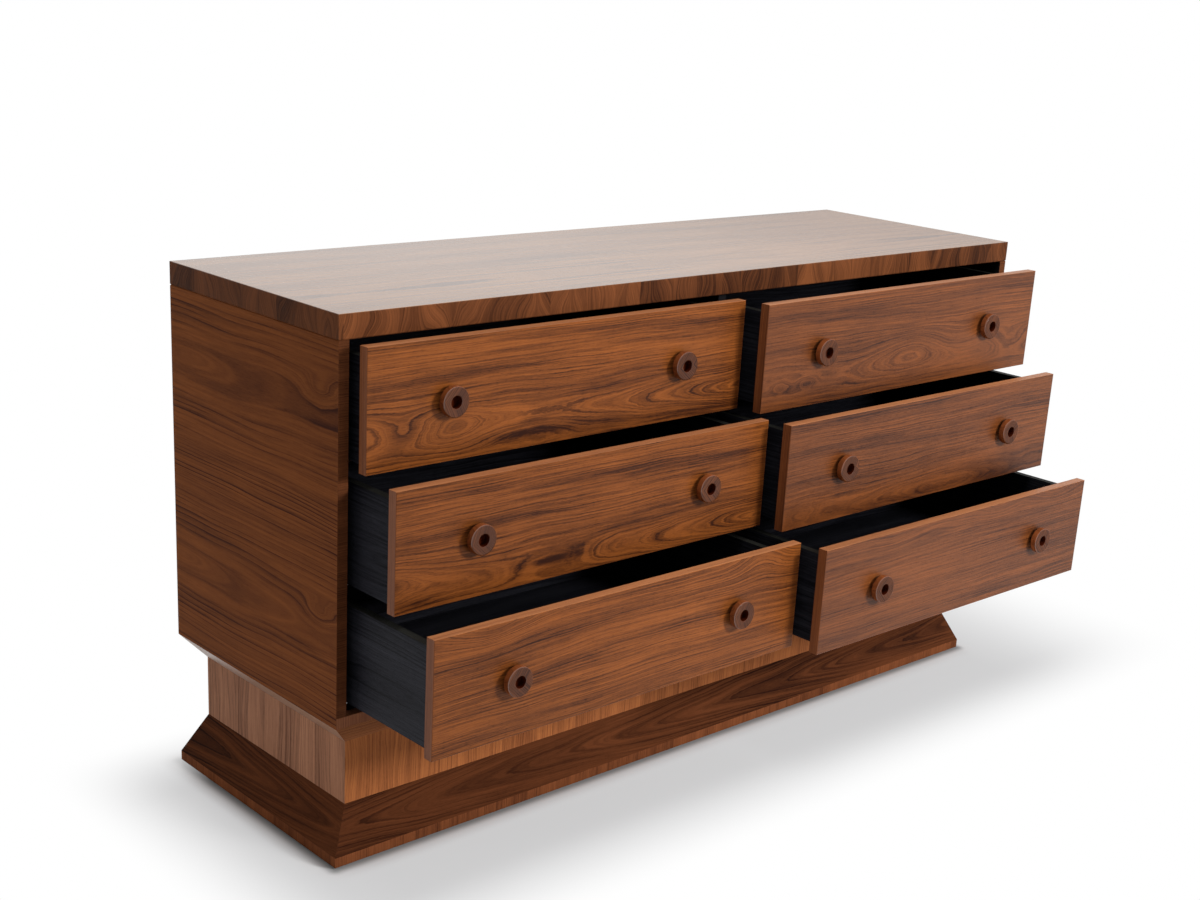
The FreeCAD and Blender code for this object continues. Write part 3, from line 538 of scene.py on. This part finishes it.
RAIL_FACE = figure_of((0.29, 0.105, 0.045), (0.07, 0.026, 0.015), 0.0032, heart_across=2.0, heart_depth=0.0,
                      wave=0.01, leaf=17.0)
plain_board("rail_walnut", ["front_rail"], UPRIGHT, LENGTHWISE, RAIL_FACE)
plain_board("black_case_boards", ["centre_partition"], DEPTHWISE, UPRIGHT, BLACK_INSIDE, 0.45, 0.05)
plain_board("black_deck_board", ["deck_panel"], LENGTHWISE, DEPTHWISE, BLACK_INSIDE, 0.45, 0.05)

BACK_FACE = figure_of((0.25, 0.105, 0.046), (0.055, 0.023, 0.014), 0.008, heart_depth=0.05, wave=0.03,
                      wave_length=0.35, leaf=23.0)
BACK_SHEETS = (0.261, 0.0, 1.0, 0.06)
back_walnut, tree, source = new_material("back_walnut")
outside = cut_wood(tree, source, UPRIGHT, (-1, 0, 0), BACK_FACE, laid=BACK_SHEETS)
inside = cut_wood(tree, source, UPRIGHT, LENGTHWISE, BLACK_INSIDE)
lacquer(tree, over(tree, facing(tree, 1, -1), inside, outside), 0.42, 0.04)
finish(["back_panel"], back_walnut)

BEECH = figure_of((0.62, 0.42, 0.25), (0.38, 0.22, 0.12), 0.002, heart_across=0.1, heart_depth=0.0,
                  leaf=27.0)
plain_board("beech", ["dowels"], UPRIGHT, LENGTHWISE, BEECH, 0.55, 0.3, solid=1.0)


# Screws: steel, zinc plated, with a cross recess. Those of the back are sunk flush with it; those of the
# runner rails have round heads that lie on the rails' flanges.

def swept(profile, turns):
    """Points of a profile of (radius, height) carried round an axis: radius times the cosine and sine of the
    angle, beside the height. Angles are evenly spaced from zero, and the last meets the first."""
    radius, height = np.asarray(profile, float).T
    angle = np.linspace(0.0, 2.0 * np.pi, turns, endpoint=False)
    return np.stack([np.outer(np.cos(angle), radius), np.outer(np.sin(angle), radius),
                     np.broadcast_to(height, (turns, len(radius)))], axis=-1)


def swept_faces(turns, count):
    """Faces between the neighbouring profiles of a swept solid: each joins two points of one to the same two
    of the next. At the axis, two of the four meet."""
    step, row = np.arange(turns)[:, None], np.arange(count - 1)
    here, there = step * count + row, (step + 1) % turns * count + row
    return np.stack([here, there, there + 1, here + 1], axis=-1).reshape(-1, 4)


def eased(corners, steps):
    """A profile whose corners, given as (radius, height, round), are turned into arcs.

    Each corner's arc is a curve between two points set back along its sides by the round, drawn towards the
    corner: (1 - t)^2 of the first, 2t(1 - t) of the corner and t^2 of the second."""
    points = np.array([corner[:2] for corner in corners], float)
    t = np.linspace(0.0, 1.0, steps)[:, None]
    result = []
    for number, (spot, (_, _, ease)) in enumerate(zip(points, corners)):
        if not ease:
            result.append(spot[None])
            continue
        sides = [other - spot for other in (points[number - 1], points[number + 1])]
        first, second = (spot + side / np.linalg.norm(side) * ease for side in sides)
        result.append((1 - t) ** 2 * first + 2 * t * (1 - t) * spot + t ** 2 * second)
    return np.concatenate(result)


def solid_of_turning(name, copies, faces, marks=()):
    """One smooth piece of several turned solids. Marks, each (name, kind, values), are laid on its points;
    then doubled points on the axes are merged and the faces turned outward."""
    every = np.concatenate([faces + number * len(copies[0]) for number in range(len(copies))])
    piece = new_piece(name, np.concatenate(copies).tolist(), every.tolist(), smooth=True)
    for mark, kind, values in marks:
        attribute = piece.data.attributes.new(mark, kind, "POINT")
        attribute.data.foreach_set("vector" if kind == "FLOAT_VECTOR" else "value",
                                   np.asarray(values, np.float32).ravel())
    shell = bmesh.new()
    shell.from_mesh(piece.data)
    bmesh.ops.remove_doubles(shell, verts=shell.verts, dist=1e-6)
    bmesh.ops.recalc_face_normals(shell, faces=shell.faces)
    shell.to_mesh(piece.data)
    shell.free()
    return piece


def placed(points, spot, aim, up=(0.0, 0.0, 1.0)):
    """Points whose third measure is turned to an aim, and moved to a spot."""
    aim = np.asarray(aim, float)
    side = np.cross(up, aim)
    return points[..., :1] * side + points[..., 1:2] * np.cross(aim, side) + points[..., 2:] * aim + spot


# width, reach and depth of the cross in a head
CROSS_WIDTH, CROSS_REACH, CROSS_DEPTH = 0.0010, 0.0020, 0.0011
HEAD_RADIUS, SHANK_RADIUS = 0.0035, 0.00175
CROWN_SHARES = np.linspace(0.9, 0.0, 10)
SCREW_TURNS = 32


def with_recess(points, top):
    """Points of a screw's head pressed down in a cross: full depth where the lesser of the two sideways
    distances is under half its width and the greater under its reach, with steep sides."""
    u, v = np.abs(points[..., 0]), np.abs(points[..., 1])
    slot = np.clip((CROSS_WIDTH / 2 - np.minimum(u, v)) / (0.25 * CROSS_WIDTH) + 0.5, 0.0, 1.0)
    length = np.clip((CROSS_REACH - np.maximum(u, v)) / (0.3 * CROSS_WIDTH) + 0.5, 0.0, 1.0)
    cap = points[..., 2] > top - 1e-4
    pressed = points.copy()
    pressed[..., 2] -= np.where(cap, slot * length * CROSS_DEPTH, 0.0)
    return pressed


def screw_profile(length, head_depth, sunk):
    """From the tip along the shank, over the head's rim and in to the middle of its top."""
    tip = [(0.0, -length), (SHANK_RADIUS * 0.5, -length + 0.001), (SHANK_RADIUS, -length + 0.004)]
    if sunk:
        head = [(SHANK_RADIUS, -head_depth), (HEAD_RADIUS, -head_depth), (HEAD_RADIUS, -0.0001),
                (HEAD_RADIUS - 0.0002, 0.0)]
        crown = [(HEAD_RADIUS * share, 0.0) for share in CROWN_SHARES]
    else:
        head = [(SHANK_RADIUS, 0.0), (HEAD_RADIUS, 0.0), (HEAD_RADIUS, head_depth * 0.45),
                (HEAD_RADIUS * 0.97, head_depth * 0.7)]
        crown = [(HEAD_RADIUS * share, head_depth * (1 - 0.3 * share ** 4)) for share in CROWN_SHARES]
    return tip + head + crown


def screw_copies(profile, top, spots, aim):
    """The same screw at each spot, with its head towards the aim."""
    points = with_recess(swept(profile, SCREW_TURNS), top).reshape(-1, 3)
    return [placed(points, np.array(spot), aim) for spot in spots]


# two rows and three columns of screws hold the back
SUNK_LENGTH, SUNK_HEAD = 0.025, 0.0022
EDGE_TO_SCREW, FOOT_TO_SCREW = 0.004, 0.009
ALONG_ROW, UP_COLUMN = np.linspace(-0.65, 0.65, 6), np.linspace(0.274, 0.802, 4)
low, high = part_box("back_panel")
spots = [(x, high.y, z) for z in (low.z + FOOT_TO_SCREW, high.z - EDGE_TO_SCREW) for x in ALONG_ROW]
spots += [(x, high.y, z) for x in (low.x + EDGE_TO_SCREW, 0.0, high.x - EDGE_TO_SCREW) for z in UP_COLUMN]
sunk = screw_profile(SUNK_LENGTH, SUNK_HEAD, True)
copies = screw_copies(sunk, 0.0, spots, (0.0, 1.0, 0.0))
back_screws = solid_of_turning("back_screws", copies, swept_faces(SCREW_TURNS, len(sunk)))

# three screws hold each cabinet rail, through its flange to a side or to the partition
PAN_LENGTH, PAN_HEAD, FLANGE = 0.0095, 0.0018, 0.0015
ALONG_RAIL, RAIL_LEVELS = np.linspace(-0.176, 0.144, 3), np.linspace(0.2835, 0.6685, 3)
outer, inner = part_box("runner_rails")[1].x - FLANGE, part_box("centre_partition")[1].x + FLANGE
pan = screw_profile(PAN_LENGTH, PAN_HEAD, False)
copies = []
for face, inward in ((outer, 1.0), (inner, -1.0)):
    for hand in (-1.0, 1.0):
        spots = [(hand * face, y, z) for y in ALONG_RAIL for z in RAIL_LEVELS]
        copies += screw_copies(pan, PAN_HEAD * 0.7, spots, (-hand * inward, 0.0, 0.0))
rail_screws = solid_of_turning("rail_screws", copies, swept_faces(SCREW_TURNS, len(pan)))

# Zinc plate has a faint mottle of crystals, each a little brighter or duller, and fine rolling marks.
zinc, taken, given = new_group("zinc_plate", {"Place": (0.0, 0.0, 0.0), "Crystals": 160.0},
                               {"Tone": "Float", "Gloss": "Float", "Relief": "Float"})
cells = add_node(zinc, "TexVoronoi", {"Vector": taken["Place"], "Scale": taken["Crystals"]}).outputs["Color"]
mottle = apart(zinc, cells)[0]
marks = noise(zinc, vectors(zinc, "MULTIPLY", taken["Place"], (30.0, 900.0, 900.0)), 2.0)["Fac"]
zinc.links.new(total(zinc, ((mottle, 0.5), (marks, 0.5))), given["Tone"])
zinc.links.new(total(zinc, ((mottle, 0.10), (marks, 0.12), (1.0, 0.28))), given["Gloss"])
zinc.links.new(marks, given["Relief"])
BRIGHT_ZINC, DULL_ZINC = (0.62, 0.63, 0.64, 1.0), (0.42, 0.43, 0.44, 1.0)


def zinc_plated(name, crystals):
    """Steel sheet or wire under bright zinc."""
    material, tree, source = new_material(name)
    plate = place_group(tree, zinc, {"Place": source, "Crystals": crystals})
    colour = blend(tree, plate["Tone"], BRIGHT_ZINC, DULL_ZINC)
    relief = add_node(tree, "Bump", {"Height": plate["Relief"], "Strength": 0.15, "Distance": 0.0002})
    surface = add_node(tree, "BsdfPrincipled", {"Base Color": colour, "Metallic": 1.0,
                                                "Roughness": plate["Gloss"], "Normal": relief.outputs[0]})
    add_node(tree, "OutputMaterial", {"Surface": surface.outputs[0]})
    return material


screw_zinc = zinc_plated("screw_zinc", 900.0)
for screws in (back_screws, rail_screws):
    screws.data.materials.append(screw_zinc)
    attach(screws, "carcass")
    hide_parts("screws")


# Plinth: mitred boards in three heights: a bevel that runs in under the case, an upright neck, and a skirt
# that flares out to a lip at the floor. Posts and bearers of pine stand inside on nylon glides.

def under(tree, source, level):
    """1 under a height above the floor."""
    return maths(tree, "LESS_THAN", apart(tree, source)[2], level)


BEVEL = figure_of((0.34, 0.125, 0.048), (0.09, 0.032, 0.014), 0.004, heart_across=0.16, heart_depth=0.02,
                  wave=0.01, leaf=31.0)
# painted sheen: the short bevels are painted paler and greyer, beside the stronger real reflection they are
# given
BEVEL_SIDE_PAINTED_SHEEN = {**BEVEL, "Light": (0.38, 0.20, 0.12, 1.0), "Dark": (0.12, 0.060, 0.035, 1.0)}
# painted light: the long necks' walnut is painted lighter, to offset the shadow the drawers cast on them
NECK_FRONT_PAINTED_LIGHTER = figure_of((0.48, 0.165, 0.052), (0.13, 0.040, 0.017), 0.0052, heart_across=0.4, heart_depth=0.0,
                       fan=0.25, wave=0.012, bands=0.35, lines=0.35, contrast=0.9, leaf=33.0)
NECK_SIDE = {**NECK_FRONT_PAINTED_LIGHTER, "Light": (0.46, 0.218, 0.122, 1.0), "Dark": (0.14, 0.060, 0.035, 1.0),
             "Ring Width": 0.009, "Leaf": 35.0}
NECK_SHEETS = (0.12, 0.03, 1.0, 0.22)
SKIRT = figure_of((0.145, 0.045, 0.016), (0.018, 0.006, 0.0035), 0.0052, heart_across=0.055,
                  heart_depth=0.012, lean=-0.055, wave=0.016, wave_length=0.3, bands=0.40, lines=0.32,
                  contrast=1.05, fine=0.7, leaf=37.0)
LIP = figure_of((0.25, 0.080, 0.029), (0.06, 0.019, 0.009), 0.003, heart_across=2.0, heart_depth=0.0,
                wave=0.006, leaf=39.0)
LIP_SHEETS, LIP_TOP = (0.07, 0.01, 1.0, 0.35), 0.0188
# name: direction, boards, figures of bevel and neck, and how much the bevel mirrors
BOARDS = {"long": (LENGTHWISE, ("front", "back"), BEVEL, NECK_FRONT_PAINTED_LIGHTER, 0.02),
          "short": (DEPTHWISE, ("left", "right"), BEVEL_SIDE_PAINTED_SHEEN, NECK_SIDE, 0.80)}
for name, (along, sides, bevel, neck, specular) in BOARDS.items():
    boards = [f"bevel_{side}" for side in sides]
    plain_board(f"{name}_bevel_walnut", boards, along, UPRIGHT, bevel, 0.34, specular)
    neck_walnut, tree, source = new_material(f"{name}_neck_walnut")
    lacquer(tree, cut_wood(tree, source, UPRIGHT, along, neck, laid=NECK_SHEETS), 0.36, 0.02)
    finish([f"neck_{side}" for side in sides], neck_walnut)
    skirt_walnut, tree, source = new_material(f"{name}_skirt_walnut")
    flare = cut_wood(tree, source, along, UPRIGHT, SKIRT)
    lip = cut_wood(tree, source, UPRIGHT, along, LIP, laid=LIP_SHEETS)
    lacquer(tree, over(tree, under(tree, source, LIP_TOP), lip, flare), 0.40, 0.01)
    finish([f"skirt_{side}" for side in sides], skirt_walnut)

PINE = figure_of((0.66, 0.47, 0.27), (0.42, 0.24, 0.11), 0.0045, heart_depth=0.04, leaf=41.0)
plain_board("pine", ["plinth_supports"], UPRIGHT, LENGTHWISE, PINE, 0.6, 0.2, solid=1.0)

NYLON, NYLON_PALE = (0.10, 0.10, 0.10, 1.0), (0.16, 0.16, 0.155, 1.0)
nylon, tree, source = new_material("glide_nylon")
speckle = noise(tree, vectors(tree, "MULTIPLY", source, (900.0, 900.0, 900.0)), 2.0)["Fac"]
relief = add_node(tree, "Bump", {"Height": speckle, "Strength": 0.2, "Distance": 0.0001})
surface = add_node(tree, "BsdfPrincipled", {"Base Color": blend(tree, speckle, NYLON, NYLON_PALE),
                                            "Roughness": maths(tree, "MULTIPLY_ADD", speckle, 0.2, 0.4),
                                            "Normal": relief.outputs[0]})
add_node(tree, "OutputMaterial", {"Surface": surface.outputs[0]})
finish(["floor_glides"], nylon)


# Runners: channels of bent steel sheet under each drawer, over rails screwed to the sides and partition.
# All are zinc plated, with larger crystals than the screws have.

DRAWERS = [f"{row}_{side}" for side in ("left", "right") for row in ("top", "middle", "bottom")]
finish(["runner_rails"] + [f"{drawer}_runners" for drawer in DRAWERS], zinc_plated("runner_zinc", 260.0))


# Drawer fronts: boards of 775 x 188 x 18 mm faced with walnut veneer along their length, each with its own
# figure, and banded all round with strips 18 mm wide. The top two of each stack have leaves that were sliced
# one after the other.

FRONT = figure_of((0.285, 0.083, 0.016), (0.024, 0.0058, 0.0022), 0.0037, wave=0.012, wave_length=0.2,
                  bands=0.40, lines=0.27, curl=0.12, contrast=1.15)
# painted shade: the right stack is the same walnut, painted darker to offset the front bank on its side
FRONT_RIGHT_PAINTED_DARKER = {**FRONT, "Light": (0.214, 0.063, 0.0150, 1.0), "Contrast": 1.05}
# painted light: the fronts' top bands are coloured lighter, as the light from above makes them
BAND_TOP_PAINTED_LIT = figure_of((0.50, 0.20, 0.080), (0.19, 0.067, 0.028), 0.0035, heart_across=0.3, heart_depth=0.0,
                     wave=0.01)
BAND_END = figure_of((0.26, 0.082, 0.026), (0.070, 0.021, 0.009), 0.004, heart_across=0.3, heart_depth=0.0,
                     wave=0.006)

# name: heart height and depth, leaf, swells and shades, each from the front's lower left corner
LEAVES = {
    "top_left": (0.050, 0.060, 60.0,
                 ((0.070, 0.055, 0.050, 0.024, 0.010), (0.160, 0.058, 0.060, 0.028, -0.010),
                  (0.33, 0.024, 0.11, 0.016, 0.008), (0.80, 0.044, 0.24, 0.036, -0.026)),
                 ((0.32, 0.022, 0.080, 0.006, 0.38), (0.32, 0.044, 0.030, 0.004, 0.25),
                  (0.70, 0.008, 0.12, 0.009, 0.25), (0.10, 0.16, 0.16, 0.03, -0.10),
                  (0.62, 0.13, 0.14, 0.03, -0.08))),
    "middle_left": (0.030, 0.060, 60.06,
                    ((-0.05, 0.05, 0.12, 0.036, -0.016), (0.30, 0.030, 0.10, 0.018, 0.005),
                     (0.76, 0.022, 0.24, 0.034, -0.024)),
                    ((0.30, 0.032, 0.080, 0.007, 0.42), (0.36, 0.044, 0.030, 0.004, 0.3),
                     (0.03, 0.012, 0.07, 0.012, 0.3), (0.09, 0.030, 0.05, 0.006, 0.25),
                     (0.45, 0.15, 0.3, 0.03, 0.08))),
    "bottom_left": (0.235, 0.060, 63.0,
                    ((0.11, 0.195, 0.070, 0.035, -0.024), (0.40, 0.12, 0.28, 0.05, 0.012),
                     (0.68, 0.19, 0.06, 0.05, 0.020)),
                    ((0.12, 0.18, 0.06, 0.008, 0.15), (0.39, 0.10, 0.60, 0.30, -0.05))),
    "top_right": (0.050, 0.070, 66.0,
                  ((0.045, 0.043, 0.026, 0.010, 0.007), (0.115, 0.043, 0.026, 0.010, 0.006),
                   (0.40, 0.065, 0.11, 0.035, -0.013), (0.54, 0.080, 0.08, 0.030, 0.010),
                   (0.72, 0.060, 0.06, 0.026, 0.010)),
                  ((0.06, 0.035, 0.05, 0.006, 0.25), (0.115, 0.040, 0.03, 0.004, 0.25),
                   (0.66, 0.070, 0.04, 0.006, 0.2), (0.35, 0.16, 0.3, 0.03, 0.06))),
    "middle_right": (0.020, 0.065, 66.05,
                     ((0.05, 0.022, 0.035, 0.012, 0.006), (0.45, 0.010, 0.16, 0.030, -0.010)),
                     ((0.30, 0.008, 0.20, 0.009, 0.35), (0.62, 0.012, 0.10, 0.010, 0.25),
                      (0.4, 0.13, 0.3, 0.04, 0.08))),
    "bottom_right": (0.215, 0.060, 69.0,
                     ((0.49, 0.200, 0.060, 0.030, -0.020), (0.68, 0.200, 0.080, 0.034, -0.022),
                      (0.295, 0.170, 0.05, 0.014, 0.006)),
                     ((0.295, 0.165, 0.05, 0.006, 0.25), (0.12, 0.05, 0.10, 0.03, 0.08))),
}
# figure and how much the lacquer mirrors, on the fronts of each stack; the right stack's walnut is painted
# darker, a painted shade that offsets the front bank standing to its right
STACKS = {"left": (FRONT, 0.16), "right": (FRONT_RIGHT_PAINTED_DARKER, 0.24)}
for drawer, (height, depth, leaf, swells, shades) in LEAVES.items():
    base, specular = STACKS[drawer.split("_")[1]]
    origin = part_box(f"{drawer}_front")[0]
    front_walnut, tree, source = new_material(f"{drawer}_front_walnut")
    figure = {**base, "Heart Across": height, "Heart Depth": depth, "Leaf": leaf}
    face = cut_wood(tree, source, LENGTHWISE, UPRIGHT, figure, origin, swells, shades)
    band = cut_wood(tree, source, LENGTHWISE, DEPTHWISE, {**BAND_TOP_PAINTED_LIT, "Leaf": leaf + 0.5}, origin)
    end = cut_wood(tree, source, UPRIGHT, DEPTHWISE, {**BAND_END, "Leaf": leaf + 0.7}, origin)
    cut = over(tree, facing(tree, 2), band, over(tree, facing(tree, 0), end, face))
    lacquer(tree, cut, 0.36, specular)
    finish([f"{drawer}_front"], front_walnut)


# Drawer boxes: ash boards stained black, with open pores that can be felt, and paler top edges. The sides
# are tongued into the front, and the bottom lies in grooves.

ASH = figure_of((0.027, 0.027, 0.034), (0.006, 0.006, 0.008), 0.0055, heart_across=0.07, heart_depth=0.03,
                wave=0.016, wave_length=0.25, contrast=1.4)
ASH_EDGE = {**ASH, "Light": (0.022, 0.022, 0.019, 1.0), "Dark": (0.009, 0.009, 0.008, 1.0),
            "Ring Width": 0.003}
ASH_LEAF, ASH_GROOVES = 80.0, 0.6
# painted shade and how much the stain mirrors: the box that stands in the light keeps its colour, and the
# others are painted darker and mirror less, as the shade they stand in
LIT_ASH, ASH_PAINTED_SHADE = (0.0, 0.06), (0.25, 0.03)
# part: directions of its grain and its width, and of the width of its top edge
BOX_PARTS = {"sides": (DEPTHWISE, UPRIGHT, LENGTHWISE), "back": (LENGTHWISE, UPRIGHT, DEPTHWISE),
             "bottom": (LENGTHWISE, DEPTHWISE, None)}
for drawer, leaves in LEAVES.items():
    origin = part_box(f"{drawer}_front")[0]
    # painted shade: every box but the lit one is darkened
    painted_shade, specular = LIT_ASH if drawer == "bottom_left" else ASH_PAINTED_SHADE
    leaf = {"Leaf": ASH_LEAF + leaves[2], "Shade": painted_shade}
    for part, (along, across, edge_across) in BOX_PARTS.items():
        ash, tree, source = new_material(f"{drawer}_{part}_ash")
        face = cut_wood(tree, source, along, across, {**ASH, **leaf}, origin)
        if edge_across:
            edge = cut_wood(tree, source, along, edge_across, {**ASH_EDGE, **leaf}, origin)
            face = over(tree, facing(tree, 2), edge, face)
        lacquer(tree, face, 0.42, specular, ASH_GROOVES)
        finish([f"{drawer}_{part}"], ash)


# Knobs: rings of 48 mm turned from two pieces of walnut whose grain meets in a chevron, on narrow feet that
# leave a shadow line behind them. Each has a blind hole in its face and a tenon glued into the front.

KNOB_RADIUS, KNOB_FOOT, FOOT_RADIUS, KNOB_DEPTH = 0.024, 0.0055, 0.014, 0.0175
HOLE_RADIUS, HOLE_FLOOR, TENON_RADIUS, TENON_LENGTH = 0.010, 0.0055, 0.006, 0.012
KNOB_INSET = 0.148
KNOB_TURNS, ARC_STEPS = 72, 6
knob_profile = eased([
    (0.0, -TENON_LENGTH, 0.0), (TENON_RADIUS, -TENON_LENGTH, 0.0008), (TENON_RADIUS, 0.0, 0.0),
    (FOOT_RADIUS, 0.0, 0.0), (FOOT_RADIUS, KNOB_FOOT, 0.0006), (KNOB_RADIUS, KNOB_FOOT, 0.0014),
    (KNOB_RADIUS, KNOB_DEPTH, 0.0026), (HOLE_RADIUS, KNOB_DEPTH, 0.0012), (HOLE_RADIUS, HOLE_FLOOR, 0.0008),
    (0.0, HOLE_FLOOR, 0.0),
], ARC_STEPS)
# painted shade in the knob's hole: 1 from just inside its mouth to its floor, and 0 elsewhere
MOUTH_ROUND, MOUTH_BLEND, MOUTH_DEPTH = 0.0006, 0.0005, 0.001
radius, level = knob_profile.T
inside = np.clip((HOLE_RADIUS + MOUTH_ROUND - radius) / MOUTH_BLEND, 0.0, 1.0)
inside = inside * np.clip((KNOB_DEPTH - level) / MOUTH_DEPTH, 0.0, 1.0)
inside = inside * (level > HOLE_FLOOR - 1e-4)

KNOB_FACE = figure_of((0.122, 0.037, 0.012), (0.018, 0.005, 0.0025), 0.0034, heart_across=0.08,
                      heart_depth=0.0, wave=0.004, wave_length=0.08, ripple=0.0006, contrast=1.25, fine=0.7)
KNOB_WALL = {**KNOB_FACE, "Light": (0.30, 0.082, 0.022, 1.0), "Dark": (0.080, 0.022, 0.008, 1.0),
             "Contrast": 0.8, "Leaf": 9.0}
KNOB_HOLE_SHADE = (0.050, 0.008, 0.0025, 1.0)

knob_walnut, tree, _ = new_material("knob_walnut")
turned_place = add_node(tree, "Attribute", attribute_name="turned_place").outputs["Vector"]
painted_hole_shade = add_node(tree, "Attribute", attribute_name="painted_hole_shade").outputs["Fac"]
face = cut_wood(tree, turned_place, LENGTHWISE, DEPTHWISE, KNOB_FACE, solid=1.0)
wall = cut_wood(tree, turned_place, LENGTHWISE, DEPTHWISE, KNOB_WALL, solid=1.0)
outward = maths(tree, "ABSOLUTE", apart(tree, add_node(tree, "TexCoord").outputs["Normal"])[1])
front_share = spread(tree, outward, 0.3, 0.9)
cut = over(tree, front_share, face, wall)
# painted shade: the inside of the hole is coloured near black, as the shade in it
cut["Colour"] = blend(tree, painted_hole_shade, cut["Colour"], KNOB_HOLE_SHADE)
# the lacquer is fullest on the rounded rim, between the wall and the face
rounding = product(tree, front_share, maths(tree, "SUBTRACT", 1.0, front_share))
rim = maths(tree, "MULTIPLY_ADD", rounding, 2.8, 0.15, clamp=True)
lacquer(tree, cut, 0.36, 0.01, coat=(product(tree, rim, maths(tree, "SUBTRACT", 1.0, painted_hole_shade)), 0.20, 2.2))


def turned_flat(points, angle):
    """The first two measures of points, turned about the origin by an angle."""
    cosine, sine = math.cos(angle), math.sin(angle)
    return points[..., :2] @ np.array([[cosine, sine], [-sine, cosine]])


draws = np.random.default_rng(7)
faces = swept_faces(KNOB_TURNS, len(knob_profile))
points = swept(knob_profile, KNOB_TURNS)
height = points[..., 2:]
# the grain of both halves leans from the joint between them, one the mirror of the other
halves = np.stack([points[..., 0], np.abs(points[..., 1])], axis=-1)
for drawer in LEAVES:
    low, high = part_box(f"{drawer}_front")
    copies, places = [], []
    for x in (low.x + KNOB_INSET, high.x - KNOB_INSET):
        joint, slant = draws.uniform(-0.25, 0.35), draws.uniform(0.75, 1.05)
        shift = draws.uniform(0.0, 3.0)
        places.append(np.concatenate([turned_flat(halves, slant) + (shift, 0.0), height], axis=-1))
        turned = np.concatenate([turned_flat(points, joint) * (-1.0, 1.0), height], axis=-1)
        spot = np.array((x, low.y, (low.z + high.z) / 2))
        copies.append(placed(turned.reshape(-1, 3), spot, (0.0, -1.0, 0.0)))
    painted_hole_shades = np.tile(inside, len(copies) * KNOB_TURNS)
    marks = (("turned_place", "FLOAT_VECTOR", places), ("painted_hole_shade", "FLOAT", painted_hole_shades))
    knobs = solid_of_turning(f"{drawer}_ring_knobs", copies, faces, marks)
    knobs.data.materials.append(knob_walnut)
    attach(knobs, f"{drawer}_drawer")
    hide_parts(f"{drawer}_knobs")
